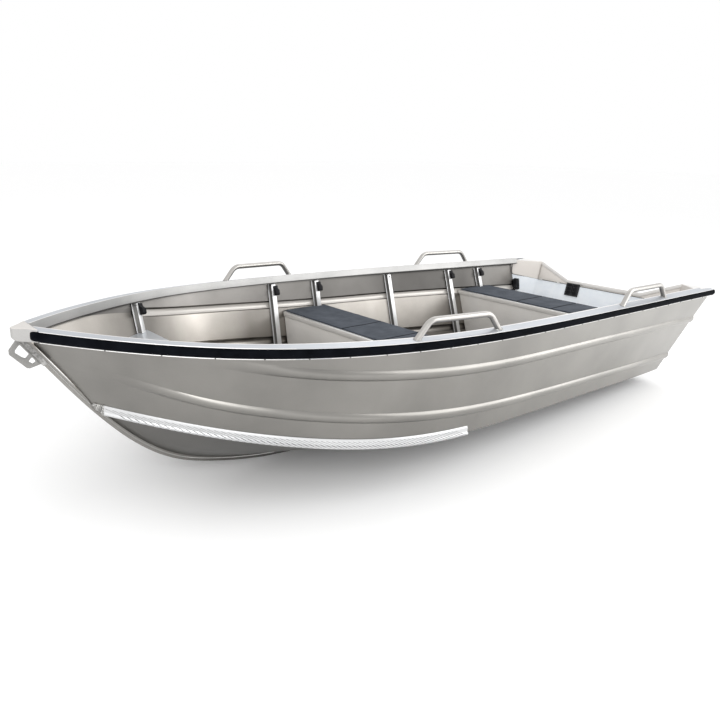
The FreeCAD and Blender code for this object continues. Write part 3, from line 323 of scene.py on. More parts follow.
def new_piece(name, points, faces, material, slot, nodes=(), sharp=SHARP_ANGLE):
    """A piece from points of the hull's layout."""
    mesh = mesh_from(name, [p - ORIGIN for p in points], faces)
    return dress(name, mesh, material, nodes, sharp)


def circle(centre, first, second, radius, count):
    """Points round a circle that lies along two directions."""
    angles = [2 * math.pi * step / count for step in range(count)]
    return [centre + (first * math.cos(a) + second * math.sin(a)) * radius for a in angles]


def tube_faces(rings, size, ends=True):
    """Quads between closed rings of points, with the ends filled."""
    faces = []
    for ring in range(rings - 1):
        for i in range(size):
            j = (i + 1) % size
            faces.append((ring * size + i, ring * size + j, (ring + 1) * size + j, (ring + 1) * size + i))
    if ends:
        faces.append(tuple(range(size))[::-1])
        faces.append(tuple((rings - 1) * size + i for i in range(size)))
    return faces


def merged(shapes):
    """Points and faces of several shapes as one."""
    all_points, all_faces = [], []
    for points, faces in shapes:
        shift = len(all_points)
        all_points += points
        all_faces += [tuple(i + shift for i in face) for face in faces]
    return all_points, all_faces


def on_side(sign, points, faces):
    """A port shape, or its mirror image if the sign is negative."""
    if sign > 0:
        return points, faces
    return [p * MIRROR for p in points], [face[::-1] for face in faces]


def on_both_sides(points, faces):
    return [on_side(sign, points, faces) for _, sign in SIDES]


def closed_mesh(name, points, faces):
    """A mesh with its double points joined and its faces turned outward."""
    mesh = mesh_from(name, points, faces)
    data = editable(mesh)
    bmesh.ops.remove_doubles(data, verts=data.verts, dist=MERGE)
    return stored(data, mesh)


def editable(mesh):
    data = bmesh.new()
    data.from_mesh(mesh)
    return data


def stored(data, mesh):
    """Write an edited mesh back, with its faces turned outward."""
    bmesh.ops.recalc_face_normals(data, faces=data.faces)
    data.to_mesh(mesh)
    data.free()
    return mesh


def cut_mesh(mesh, point, normal):
    """Keep what lies behind a plane, and close the cut."""
    data = editable(mesh)
    geometry = data.verts[:] + data.edges[:] + data.faces[:]
    made = bmesh.ops.bisect_plane(data, geom=geometry, plane_co=Vector(point), plane_no=Vector(normal),
                                  clear_outer=True)
    edges = [item for item in made["geom_cut"] if isinstance(item, bmesh.types.BMEdge)]
    if edges:
        bmesh.ops.triangle_fill(data, edges=edges, use_beauty=True)
    stored(data, mesh)


def swept(name, sections, material, cuts=()):
    """A closed section carried along stations, port and starboard, cut by planes at its ends."""
    points = [p - ORIGIN for section in sections for p in section]
    faces = tube_faces(len(sections), len(sections[0]))
    made = []
    for side, sign in SIDES:
        mesh = closed_mesh(name, *on_side(sign, points, faces))
        turn = np.array([1, sign, 1])
        for point, normal in cuts:
            cut_mesh(mesh, (np.array(point) - ORIGIN) * turn, np.array(normal, float) * turn)
        made.append(dress(f"{name}_{side}", mesh, material, [f"{name}_{side}"]))
    return made


def rounded_section(points, radius, steps=2):
    """A closed outline in two coordinates with its corners rounded."""
    result = []
    count = len(points)
    for i in range(count):
        before, here, after = (np.array(points[k % count], float) for k in (i - 1, i, i + 1))
        first, second = before - here, after - here
        reach = min(radius, 0.45 * np.linalg.norm(first), 0.45 * np.linalg.norm(second))
        a, b = here + unit(first) * reach, here + unit(second) * reach
        for step in range(steps + 1):
            t = step / steps
            result.append(tuple((1 - t) ** 2 * a + 2 * t * (1 - t) * here + t * t * b))
    return result


def applied(mesh, kind, **settings):
    """A mesh after one modifier."""
    helper = placed("helper", mesh)
    modifier = helper.modifiers.new("change", kind)
    for key, value in settings.items():
        setattr(modifier, key, value)
    made = bpy.data.meshes.new_from_object(helper.evaluated_get(bpy.context.evaluated_depsgraph_get()))
    bpy.data.objects.remove(helper)
    return made


def opened(name, flat_angle):
    """A solid's mesh, ready for editing, with the triangles of each flat face joined."""
    data = editable(frame_objects[name].data)
    bmesh.ops.remove_doubles(data, verts=data.verts, dist=SOLID_MERGE)
    bmesh.ops.dissolve_limit(data, angle_limit=math.radians(flat_angle), verts=data.verts, edges=data.edges)
    return data


def split_long_edges(data, longest, rounds):
    for _ in range(rounds):
        long_edges = [edge for edge in data.edges if edge.calc_length() > longest]
        if not long_edges:
            break
        bmesh.ops.subdivide_edges(data, edges=long_edges, cuts=1, use_grid_fill=True)
        bmesh.ops.triangulate(data, faces=[face for face in data.faces if len(face.verts) > 4])


def bevelled(name, material, width=0.0012, segments=2, rough=None):
    """A copy of a solid with eased edges, which stands for it."""
    mesh = stored(opened(name, FLAT_ANGLE), bpy.data.meshes.new(name))
    shown = applied(mesh, "BEVEL", width=width, segments=segments, limit_method="ANGLE",
                    angle_limit=math.radians(BEVEL_ANGLE), use_clamp_overlap=True, miter_outer="MITER_ARC")
    shown.name = name
    if rough:
        roughen(shown, *rough)
    return dress(f"{name}_piece", shown, material, [name], FITTED_SHARP_ANGLE)


def roughen(mesh, amount, grain, longest):
    """Split a mesh's long edges and push its points in a little, unevenly."""
    data = editable(mesh)
    split_long_edges(data, longest, 4)
    data.normal_update()
    for vert in data.verts:
        p = vert.co / grain
        push = math.sin(p.x * 2.1 + 1.3 * math.sin(p.z * 1.7))
        push *= math.sin(p.z * 2.7 + 0.7 * math.sin(p.y * 2.3))
        vert.co -= vert.normal * amount * (0.5 + 0.5 * push)
    data.to_mesh(mesh)
    data.free()


def carve(piece, cutter_mesh):
    """Cut a closed mesh out of a piece."""
    cutter = placed("cutter", cutter_mesh)
    made = applied(piece.data, "BOOLEAN", operation="DIFFERENCE", solver="EXACT", object=cutter)
    bpy.data.objects.remove(cutter)
    made.set_sharp_from_angle(angle=math.radians(SHARP_ANGLE))
    piece.data = made


def two_tone(piece, material, chosen):
    """Give the faces that a rule chooses by their normal a second material."""
    piece.data.materials.append(material)
    for polygon in piece.data.polygons:
        if chosen(polygon.normal):
            polygon.material_index = len(piece.data.materials) - 1
    return piece


# Materials

EVEN = (1.0, 1.0, 1.0)
DRAWN = (0.03, 1.0, 1.0)
DRAWN_TUBE = (0.05, 1.0, 1.0)
CROSSWISE = (1.0, 0.05, 1.0)
DECK_GRAIN = (1.0, 0.06, 1.0)
UPRIGHT = (1.0, 1.0, 0.05)
EXTRUDED = {"brush": DRAWN, "relief": 0.15}
CASTING = {"rough": (0.4, 0.55), "grain": 350.0, "relief": 0.35, "depth": 0.0008}
SMOOTH = {"relief": 0.1, "depth": 0.0003}
# Places along X where the shares of painted light and shade start and end
PAINTED_LIGHT_START = -1.5
PAINTED_LIGHT_END = 2.2
FINE_SHARE = 0.35


def shader(name):
    material = bpy.data.materials.new(name)
    material.use_nodes = True
    tree = material.node_tree
    return material, tree, tree.nodes["Principled BSDF"]


def fill(tree, made, inputs):
    """Set a node's inputs to values, or link them to the outputs of other nodes."""
    for key, value in inputs.items():
        if isinstance(value, bpy.types.NodeSocket):
            tree.links.new(value, made.inputs[key])
        else:
            made.inputs[key].default_value = value


def node(tree, kind, output, inputs=None, **settings):
    """A new node's output."""
    made = tree.nodes.new(kind)
    for key, value in settings.items():
        setattr(made, key, value)
    fill(tree, made, inputs or {})
    return made.outputs[output]


def coordinates(tree, scale):
    place = node(tree, "ShaderNodeTexCoord", "Object")
    return node(tree, "ShaderNodeMapping", "Vector", {"Vector": place, "Scale": scale})


def noise(tree, vector, scale, detail, roughness):
    return node(tree, "ShaderNodeTexNoise", "Fac",
                {"Vector": vector, "Scale": scale, "Detail": detail, "Roughness": roughness})


def ramp(tree, factor, stops):
    colour = node(tree, "ShaderNodeValToRGB", "Color", {"Fac": factor})
    elements = colour.node.color_ramp.elements
    while len(elements) > 1:
        elements.remove(elements[-1])
    elements[0].position, elements[0].color = stops[0][0], (*stops[0][1], 1)
    for position, tone in stops[1:]:
        elements.new(position).color = (*tone, 1)
    return colour


def spread(tree, factor, low, high):
    return node(tree, "ShaderNodeMapRange", "Result", {"Value": factor, "To Min": low, "To Max": high})


def bump(tree, height, strength, distance):
    return node(tree, "ShaderNodeBump", "Normal",
                {"Height": height, "Strength": strength, "Distance": distance})


def painted_light_along(tree, colour, shares):
    """A colour times shares that change along the hull, given as places and shares: painted light and shade
    along the hull.
    """
    place = node(tree, "ShaderNodeSeparateXYZ", "X", {"Vector": coordinates(tree, EVEN)})
    along = node(tree, "ShaderNodeMapRange", "Result",
                 {"Value": place, "From Min": PAINTED_LIGHT_START, "From Max": PAINTED_LIGHT_END})
    stops = [((x - PAINTED_LIGHT_START) / (PAINTED_LIGHT_END - PAINTED_LIGHT_START), (share, share, share)) for x, share in shares]
    return node(tree, "ShaderNodeVectorMath", "Vector", {0: colour, 1: ramp(tree, along, stops)},
                operation="MULTIPLY")


def metal(name, dark, light, metallic, rough=(0.3, 0.4), grain=500.0, brush=EVEN, relief=0.12, depth=0.0004,
          shares=None):
    """Bare metal: colour drift, fine grain or brushing, uneven roughness, and shares of tone along the hull
    that paint light and shade into the colour.
    """
    material, tree, surface = shader(name)
    broad = noise(tree, coordinates(tree, EVEN), 3.0, 4.0, 0.5)
    fine = noise(tree, coordinates(tree, brush), grain, 3.0, 0.6)
    both = node(tree, "ShaderNodeMix", "Result", {"Factor": FINE_SHARE, "A": broad, "B": fine},
                data_type="FLOAT")
    colour = ramp(tree, both, [(0.3, dark), (0.7, light)])
    if shares:
        colour = painted_light_along(tree, colour, shares)
    fill(tree, surface, {"Base Color": colour, "Roughness": spread(tree, fine, *rough), "Metallic": metallic,
                         "Normal": bump(tree, fine, relief, depth)})
    return material


def soft(name, dark, light, rough, grain, relief, depth=0.0003, sheen=0.0, cells=False, specular=0.1):
    """Rubber, plastic or foam: mottled colour with a fine moulded or cellular grain."""
    material, tree, surface = shader(name)
    vector = coordinates(tree, EVEN)
    drift = noise(tree, vector, 14.0, 5.0, 0.6)
    height = noise(tree, vector, grain, 2.0, 0.6)
    if cells:
        cell = node(tree, "ShaderNodeTexVoronoi", "Distance", {"Vector": vector, "Scale": grain * 0.8})
        height = node(tree, "ShaderNodeMath", "Value", {0: cell, 1: height}, operation="ADD")
    fill(tree, surface, {"Base Color": ramp(tree, drift, [(0.32, dark), (0.68, light)]),
                         "Roughness": spread(tree, drift, *rough), "Sheen Weight": sheen,
                         "Specular IOR Level": specular, "Normal": bump(tree, height, relief, depth)})
    return material


# The hull sheet's shares paint its side darker towards the bow: painted shade.
HULL_SHEET = metal("hull_sheet", (0.268, 0.26, 0.245), (0.384, 0.371, 0.348), 1.0, (0.28, 0.36), 900.0,
                   shares=((-1.4, 0.92), (-0.4, 1.0), (0.2, 0.94), (0.9, 0.78), (1.9, 0.79)))
# A darker copy of the hull sheet for the bottom, painted shade under the hull; its shares paint it darker
# still aft.
BOTTOM_SHADE_METAL = metal("bottom_sheet", (0.136, 0.132, 0.124), (0.196, 0.188, 0.176), 1.0, (0.32, 0.42), 800.0,
                     shares=((0.8, 0.3), (1.1, 0.5), (1.4, 0.72), (1.8, 0.9)))
RAIL_METAL = metal("rail_metal", (0.4, 0.42, 0.45), (0.54, 0.56, 0.59), 0.5, (0.3, 0.42), **EXTRUDED)
# A darker copy of the rail metal for the lip's inboard faces: painted shade.
LIP_SHADE_METAL = metal("lip_painted_shade", (0.3, 0.3, 0.295), (0.5, 0.495, 0.485), 0.4, (0.34, 0.46), **EXTRUDED)
# The inner metal's shares paint light and shade along the inside: darker next to the posts, painted light
# between them.
INNER = metal("inner_metal", (0.45, 0.421, 0.385), (0.8, 0.758, 0.7), 1.0, (0.28, 0.38), 700.0,
              shares=((-1.2, 0.4), (-0.5, 0.32), (0.0, 0.52), (0.5, 0.36), (0.85, 0.4), (1.2, 0.95),
                      (1.5, 0.32), (1.62, 0.4), (1.85, 0.95)))
# A darker copy of the inner metal for the inside above the upper swage: painted shade, with more painted
# light and shade along the hull from its shares.
INNER_UPPER_SHADE = metal("inner_upper_painted_shade", (0.15, 0.143, 0.135), (0.27, 0.26, 0.247), 1.0, (0.28, 0.38), 700.0,
                    shares=((-1.3, 0.75), (-0.85, 0.3), (-0.45, 0.24), (0.0, 0.4), (0.5, 0.55), (1.2, 1.0)))
CAP = metal("cap_metal", (0.74, 0.72, 0.69), (0.84, 0.82, 0.8), 0.3, **SMOOTH)
# Pale metal: the board clips' own colour, and a painted highlight on the gunwale's edges, the tops of the cap
# and knees, and the seats' edges
PALE_CLIPS_AND_HIGHLIGHT = metal("pale_clips_and_painted_highlight", (0.78, 0.77, 0.75), (0.9, 0.89, 0.875), 0.7, grain=700.0, **SMOOTH)
# A lighter copy of the inner metal for the upper swage's inner face: painted highlight.
CREASE_HIGHLIGHT = metal("inner_swage_painted_highlight", (0.5, 0.475, 0.445), (0.66, 0.635, 0.6), 0.3, grain=700.0, **SMOOTH)
# The knee sheet is a darker copy of the wing sheet, painted shade that evens out the extra light the knees
# catch.
KNEE_SHADE = metal("knee_sheet", (0.58, 0.543, 0.505), (0.7, 0.662, 0.625), 0.1, (0.32, 0.44), 700.0)
WING = metal("wing_sheet", (0.68, 0.64, 0.6), (0.82, 0.78, 0.735), 0.1, (0.32, 0.44), 700.0)
POST = metal("post_metal", (0.64, 0.645, 0.65), (0.8, 0.8, 0.8), 0.5, (0.3, 0.42), brush=UPRIGHT,
             relief=0.15)
# A dark copy of the post metal for the posts' forward faces: painted shade.
POST_SHADE = metal("post_painted_shade", (0.1, 0.098, 0.095), (0.22, 0.217, 0.21), 0.5, (0.4, 0.5))
STRIP = metal("strip_metal", (0.52, 0.525, 0.53), (0.66, 0.662, 0.665), 0.6, (0.28, 0.38), **EXTRUDED)
# Near-black for painted shadow: the foot of the gunwale's lip, the board's top and the dark seams at the
# knees.
PAINTED_SHADOW = metal("painted_shadow", (0.045, 0.044, 0.042), (0.13, 0.127, 0.123), 0.3, (0.45, 0.6))
CAST = metal("cast_fitting", (0.34, 0.335, 0.325), (0.5, 0.49, 0.48), 0.5, **CASTING)
# A lighter copy of the cast metal for the casting's upward faces: painted highlight.
CAST_TOP_HIGHLIGHT = metal("cast_top_painted_highlight", (0.52, 0.495, 0.47), (0.78, 0.755, 0.725), 0.2, **CASTING)
EYE = metal("eye_plate_metal", (0.2, 0.196, 0.188), (0.32, 0.315, 0.305), 0.6, (0.36, 0.5), 350.0,
            relief=0.3, depth=0.0006)
# The keel bar's shares paint its aft part darker: painted shade under the hull.
BAR = metal("keel_metal", (0.2, 0.193, 0.182), (0.34, 0.329, 0.311), 0.9, (0.3, 0.44), 400.0, CROSSWISE,
            0.2, 0.0005, ((0.9, 0.45), (1.4, 0.55), (1.75, 1.0)))
CHANNEL = metal("channel_weld", (0.03, 0.029, 0.028), (0.7, 0.69, 0.67), 0.7, (0.28, 0.5), 110.0,
                relief=0.8, depth=0.0015)
WELD = metal("weld", (0.28, 0.275, 0.262), (0.5, 0.495, 0.48), 0.8, (0.26, 0.42), relief=0.3, depth=0.0005)
TUBE = metal("handle_tube", (0.4, 0.388, 0.368), (0.5, 0.484, 0.463), 0.7, (0.26, 0.34),
             brush=DRAWN_TUBE, **SMOOTH)
# A darker copy of the tube metal for the handles' downward faces: painted shade.
TUBE_UNDER_SHADE = metal("handle_underside_painted_shade", (0.16, 0.155, 0.148), (0.26, 0.25, 0.24), 0.7, brush=DRAWN_TUBE,
                   **SMOOTH)
PANEL = metal("thwart_panel", (0.74, 0.71, 0.67), (0.9, 0.88, 0.85), 0.2, (0.34, 0.44), 700.0, relief=0.1)
DECK = metal("deck_metal", (0.6, 0.63, 0.67), (0.72, 0.75, 0.79), 0.5, (0.28, 0.38), 600.0, DECK_GRAIN)
MARK = metal("strip_mark", (0.06, 0.06, 0.062), (0.11, 0.11, 0.113), 0.1, (0.3, 0.45), relief=0.2,
             depth=0.0003)
STEEL = metal("screw_steel", (0.08, 0.08, 0.08), (0.18, 0.18, 0.18), 0.8, (0.3, 0.5), 900.0, relief=0.2,
              depth=0.0003)
RUBBER = soft("rail_rubber", (0.002, 0.0024, 0.0034), (0.005, 0.0058, 0.008), (0.5, 0.62), 700.0, 0.2,
              specular=0.012)
PLASTIC = soft("black_plastic", (0.008, 0.008, 0.009), (0.02, 0.02, 0.023), (0.4, 0.55), 900.0, 0.3)
FOAM = soft("seat_foam", (0.05, 0.058, 0.072), (0.08, 0.09, 0.108), (0.8, 0.92), 420.0, 0.5, 0.0006,
            sheen=0.03, cells=True)
# A darker copy of the foam for the pads' ends: painted shade in the seams between pads.
FOAM_EDGE_SHADE = soft("seat_foam_edge_painted_shade", (0.012, 0.014, 0.018), (0.024, 0.028, 0.034), (0.8, 0.92), 420.0, 0.5,
                 0.0006, cells=True)
# A lighter copy of the black plastic for the motor pad: painted highlight.
PAD_PLASTIC_HIGHLIGHT = soft("pad_plastic_painted_highlight", (0.013, 0.013, 0.015), (0.028, 0.028, 0.031), (0.4, 0.55), 900.0, 0.3,
                   specular=0.3)
BOARD = soft("board", (0.82, 0.87, 0.93), (0.9, 0.94, 0.98), (0.42, 0.55), 500.0, 0.15, 0.0004,
             specular=0.2)

frame_objects = {name: bpy.data.objects[name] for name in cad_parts}


# Plating

PLATING = along_hull((AFT_END, 0.3, 16), (0.32, 0.8, 36), (0.805, RAIL_END, 44))
BOTTOM = [x for x in PLATING if x < BAR_END * LENGTH]
TRANSOM_POINT = (RAKE, 0, 0)
TRANSOM_NORMAL = tuple(unit(np.array([-sheer_z(0), 0, -RAKE])))
BAR_CUT = ((0, BAR_WIDTH / 2 + GAP / 2, 0), (0, -1, 0))
SHEET_CUTS = ((TRANSOM_POINT, TRANSOM_NORMAL), BAR_CUT)

# The inner face of the upper swage, from its centre line down and up, where it is still deep, which gets a
# painted highlight
CREASE_BELOW = 0.017
CREASE_ABOVE = 0.013
CREASE_FADE = 0.4
INNER_FACE = -0.2


def side_profile(x, outward):
    points = [from_chine(x, 0, outward)]
    for line, shares in ((lower_swage, LOWER_FADE), (upper_swage, UPPER_FADE)):
        centre = line(x) * side_height(x)
        profile = bead(SWAGE_WIDTH, SWAGE_DEPTH * fade(x, shares), SWAGE_FACETS)
        margin = SWAGE_WIDTH / 2 + SWAGE_MARGIN
        for along, rise in [(-margin, 0.0)] + profile + [(margin, 0.0)]:
            points.append(from_chine(x, centre + along, outward + rise))
    points.append(from_sheer(x, skin_top(x, outward), outward))
    return points


def bottom_profile(x, upward):
    keel = np.array([x, 0, keel_height_at(x, BAR_SHOW)])
    far = from_chine(x, 0, SKIN_OUTER - SHEET - GAP)
    along = unit(far - keel)
    up = np.array([0, -along[2], along[1]])
    width = float(np.linalg.norm(far - keel))
    line_width = min(KEEL_LINE_WIDTH, width / 2)
    centre = max(KEEL_LINE_PLACE * width, line_width)
    points = [keel + up * upward]
    for across, rise in bead(line_width, KEEL_LINE_DEPTH * fade(x, KEEL_LINE_FADE), KEEL_LINE_FACETS):
        points.append(keel + along * (centre + across) + up * (upward - rise))
    points.append(far + up * upward)
    return points


def laid_out(centre):
    """A point of the part's frame in the hull's layout, brought to the port side."""
    spot = np.array(centre) + ORIGIN
    spot[1] = abs(spot[1])
    return spot


sections = [side_profile(x, SKIN_OUTER) + side_profile(x, SKIN_OUTER - SHEET)[::-1] for x in PLATING]
for piece in swept("side_panel", sections, HULL_SHEET, SHEET_CUTS):
    mesh = piece.data
    for material in (INNER, INNER_UPPER_SHADE, CREASE_HIGHLIGHT):
        mesh.materials.append(material)
    # Inside faces: the inner metal below the upper swage, its darker copy above it as painted shade, and a
    # painted highlight on the swage's inner face
    for polygon in mesh.polygons:
        spot = laid_out(polygon.center)
        facing = np.array(polygon.normal) * np.array([1, 1 if polygon.center.y > 0 else -1, 1])
        up, out, _ = side_axes(float(np.clip(spot[0], AFT_END * LENGTH, LENGTH)))
        if float(facing @ out) < INNER_FACE:
            rise = float((spot - chine(spot[0])) @ up) / side_height(spot[0])
            above = (rise - upper_swage(spot[0])) * side_height(spot[0])
            crease_highlight = -CREASE_BELOW < above < CREASE_ABOVE and fade(spot[0], UPPER_FADE) > CREASE_FADE
            polygon.material_index = 3 if crease_highlight else 2 if above > 0 else 1

sections = [bottom_profile(x, 0) + bottom_profile(x, BOTTOM_SHEET)[::-1] for x in BOTTOM]
swept("bottom_panel", sections, BOTTOM_SHADE_METAL, SHEET_CUTS)


# Places on the transom

LEAN = math.atan2(RAKE, sheer_z(0))
KNEE_WIDTH = 0.177
KNEE_REACH = 0.125
FAR_AFT = -1
FAR_UP = 1.5
BLOCK_CORNERS = ((0, 0), (1, 0), (1, 1), (0, 1))


def on_transom(along, across, height):
    """A point forward of the transom's face, across the boat and up its slope, in the part's frame."""
    x = RAKE + along * math.cos(LEAN) - height * math.sin(LEAN)
    return np.array([x, across, along * math.sin(LEAN) + height * math.cos(LEAN)]) - ORIGIN


def knee_cutter(sign):
    """The room of a stern knee, as a closed wedge on the transom."""
    inner = float(sheer(0)[1]) - KNEE_WIDTH
    far = float(from_rail(0, RAIL_HEIGHT, -RAIL_WALL)[1])
    grip = CAP_FRONT + CAP_CLEAR + GAP
    reach = grip + KNEE_REACH * (far - inner) / KNEE_WIDTH
    plan = [(FAR_AFT, inner), (grip, inner), (reach, far), (FAR_AFT, far)]
    points = [on_transom(along, sign * across, height) for height in (0.0, FAR_UP) for along, across in plan]
    return closed_mesh("knee_cutter", points, tube_faces(2, 4))


def transom_block(boxes):
    """Closed blocks laid out on the transom, each as ranges along, across and up."""
    shapes = []
    for along, across, height in boxes:
        points = [on_transom(along[i], across[j], h) for h in height for i, j in BLOCK_CORNERS]
        shapes.append((points, tube_faces(2, 4)))
    return closed_mesh("blocks", *merged(shapes))


# Gunwale

RAIL = along_hull((AFT_END, 0.8, 50), (0.81, RAIL_END, 34))

# Where the gunwale's faces change tone, measured inboard and down: painted shade on the lip, a painted shadow
# line at its foot, and painted highlights on the outer edges and the top's inner edge
LIP_FACE = 0.0408
EDGE_HIGHLIGHT_FACE = -0.0036
TOP_HIGHLIGHT_START = 0.0358
TOP_HIGHLIGHT_DEPTH = 0.002


def gunwale_lip(x):
    """Depth of the inner lip, less where the side comes inboard to meet it."""
    turn = max(flare(x) - rail_lean(x), LEAST_TURN)
    stretch = side_axes(x)[2]
    depth = (SHEET - SKIN_OUTER) * stretch
    room = (RAIL_WIDTH - RAIL_WALL - LIP_ROOM) * stretch
    return min(LIP_DEPTH, (room - depth * math.cos(turn)) / math.tan(turn) - depth * math.sin(turn))


def gunwale_section(x):
    lip = gunwale_lip(x)
    foot = [skin_behind_rail(x, down, SKIN_OUTER) + GAP for down in (RAIL_HEIGHT, RAIL_HEIGHT - RAIL_WALL)]
    upper, lower, inner = RAIL_WALL, RAIL_HEIGHT - RAIL_WALL, RAIL_WALL - RAIL_WIDTH
    corners = [(0, RAIL_EDGE), (upper, RAIL_EDGE), (upper, 0), (lower, 0), (lower, RAIL_EDGE),
               (RAIL_HEIGHT, RAIL_EDGE), (RAIL_HEIGHT, foot[0]), (lower, foot[1]),
               (lower - RAIL_WALL, -RAIL_WALL), (upper, -RAIL_WALL), (upper, inner), (lip, inner),
               (lip, -RAIL_WIDTH), (lip - LIP_SHADE, -RAIL_WIDTH), (0, -RAIL_WIDTH), (0, inner + RAIL_WALL)]
    return [from_rail(x, down, out) for down, out in rounded_section(corners, RAIL_ROUND)]


rails = swept("gunwale", [gunwale_section(x) for x in RAIL], RAIL_METAL,
              [((RAKE + CAP_FRONT, 0, 0), TRANSOM_NORMAL), ((0, GAP / 2, 0), (0, -1, 0))])
for piece, (_, sign) in zip(rails, SIDES):
    carve(piece, knee_cutter(sign))
    for material in (LIP_SHADE_METAL, PALE_CLIPS_AND_HIGHLIGHT, PAINTED_SHADOW):
        piece.data.materials.append(material)
    for polygon in piece.data.polygons:
        spot = laid_out(polygon.center)
        x = float(np.clip(spot[0], AFT_END * LENGTH, RAIL_END * LENGTH))
        lean = rail_lean(x)
        gap = (sheer(x) - spot)[1:]
        down = float(gap @ [math.sin(lean), math.cos(lean)])
        inward = float(gap @ [math.cos(lean), -math.sin(lean)]) / side_axes(x)[2]
        # The lip's faces get painted shade, with a painted shadow line along its foot; the outer edges and
        # the top's inner edge get a painted highlight
        if inward > LIP_FACE:
            polygon.material_index = 3 if down > gunwale_lip(x) - LIP_SHADE else 1
        elif inward < EDGE_HIGHLIGHT_FACE or (inward > TOP_HIGHLIGHT_START and down < TOP_HIGHLIGHT_DEPTH):
            polygon.material_index = 2


# Rubber along the gunwale, with a rounded nose forward and a bulging cap over its aft end

RUBBER_FACETS = 18
RUBBER_START = CAP_FRONT + CAP_CLEAR
NOSE_LENGTH = 0.022
NOSE_STEPS = 8
NOSE_TIP = 0.08
END_CAP_LENGTH = 0.03
END_CAP_STEPS = 12
END_CAP_TIP = 0.06
END_CAP_SWELL = 1.12


def rubber_ring(x, share=1.0):
    height = RAIL_HEIGHT - 2 * RAIL_WALL - 2 * GAP
    profile = bead(height * share, (RUBBER_DEPTH - GAP) * share, RUBBER_FACETS)
    ring = [from_rail(x, RAIL_HEIGHT / 2 + along, GAP + rise) for along, rise in profile]
    return [np.array([p[0], min(p[1], cad_high[1]), p[2]]) for p in ring]


rings = [rubber_ring(x) for x in [RUBBER_START] + [x for x in RAIL if x > 2 * RUBBER_START]]
for step in range(1, NOSE_STEPS + 1):
    run = step / NOSE_STEPS
    rings.append(rubber_ring(RAIL[-1] + NOSE_LENGTH * (1 - (1 - run) ** 2),
                             max(NOSE_TIP, math.sqrt(1 - run ** 2.5))))
swept("rub_rail", rings, RUBBER)

cap_rings = []
for step in range(END_CAP_STEPS + 1):
    run = step / END_CAP_STEPS
    size = math.sqrt(max(0.0, 1 - run ** 3.2)) * min(END_CAP_SWELL, 1 + step * 0.06)
    aft = np.array([-END_CAP_LENGTH * run, 0, 0])
    cap_rings.append([p + aft for p in rubber_ring(RUBBER_START - GAP, max(END_CAP_TIP, size))])
swept("rail_end_cap", cap_rings, RUBBER)


# Strip along the chine: its section as heights up the side and distances out of it

STRIP_SKIN = SKIN_OUTER + GAP
STRIP_EDGE = 0.003
STRIP_ROUND = 0.001
STRIP_OUTLINE = [(-0.003, STRIP_SKIN), (-0.003, 0.011), (0, 0.014), (0.008, 0.014), (0.011, 0.007),
                 (0.028, 0.004), (0.036, STRIP_SKIN + STRIP_EDGE), (0.036, STRIP_SKIN)]
STRIP_SPAN = (0.567 * LENGTH, 0.932 * LENGTH)

strip_corners = rounded_section(STRIP_OUTLINE, STRIP_ROUND)
sections = [[from_chine(x, rise, out) for rise, out in strip_corners] for x in spaced(*STRIP_SPAN, 60)]
swept("chine_strip", sections, STRIP, [BAR_CUT])


# Keel and stem bar, grooved along its outer face

STEM = along_hull((AFT_END, 0.6, 14), (0.62, 1.01, 90))
BAR_EASE = 0.0012
GROOVES = (-0.006, 0.0, 0.006)
GROOVE_HALF = 0.0012
GROOVE_FLOOR_HALF = 0.0006
GROOVE_DEPTH = 0.0011
CASTING_FOOT = sheer_z(RAIL_END * LENGTH + GAP) - RAIL_HEIGHT


def bar_profile():
    half = BAR_WIDTH / 2
    points = [(-half, BAR_DEPTH), (-half, BAR_EASE), (-half + BAR_EASE, 0)]
    for groove in GROOVES:
        points += [(groove - GROOVE_HALF, 0), (groove - GROOVE_FLOOR_HALF, GROOVE_DEPTH),
                   (groove + GROOVE_FLOOR_HALF, GROOVE_DEPTH), (groove + GROOVE_HALF, 0)]
    return points + [(half - BAR_EASE, 0), (half, BAR_EASE), (half, BAR_DEPTH)]


bar_outline = bar_profile()
points = [keel_point(x, inward, across) - ORIGIN for x in STEM for across, inward in bar_outline]
mesh = closed_mesh("keel_bar", points, tube_faces(len(STEM), len(bar_outline)))
cut_mesh(mesh, np.array(TRANSOM_POINT) - ORIGIN, TRANSOM_NORMAL)
cut_mesh(mesh, np.array([0, 0, CASTING_FOOT - GAP]) - ORIGIN, (0, 0, 1))
dress("keel_bar_piece", mesh, BAR, ["keel_bar"])


# Posts and their black fittings

POSTS = ("bow_post", "front_thwart_fore_post", "front_thwart_post", "middle_post", "aft_thwart_fore_post",
         "aft_thwart_post")

# The corner brackets are drawn close to the sloping side, a margin inside their solids
BRACKET_SLOPE = 0.38
BRACKET_MARGIN = 0.003
BRACKET_SHARE = 0.55

for name in POSTS:
    for side, _ in SIDES:
        # The posts' forward faces get painted shade.
        two_tone(bevelled(f"{name}_{side}", POST, 0.001), POST_SHADE, lambda n: n.x > 0.35)
for side, _ in SIDES:
    bevelled(f"post_hooks_{side}", PLASTIC, 0.0018, 3)
    piece = bevelled(f"corner_bracket_{side}", PLASTIC, 0.006, 4)
    far = max(abs(vert.co.y) - BRACKET_SLOPE * vert.co.z for vert in piece.data.vertices)
    for vert in piece.data.vertices:
        limit = far + BRACKET_SLOPE * vert.co.z
        reach = limit - BRACKET_MARGIN - (limit - abs(vert.co.y)) * BRACKET_SHARE
        vert.co.y = math.copysign(reach, vert.co.y)


# Transom, its cap, board, knees, motor pad and clips

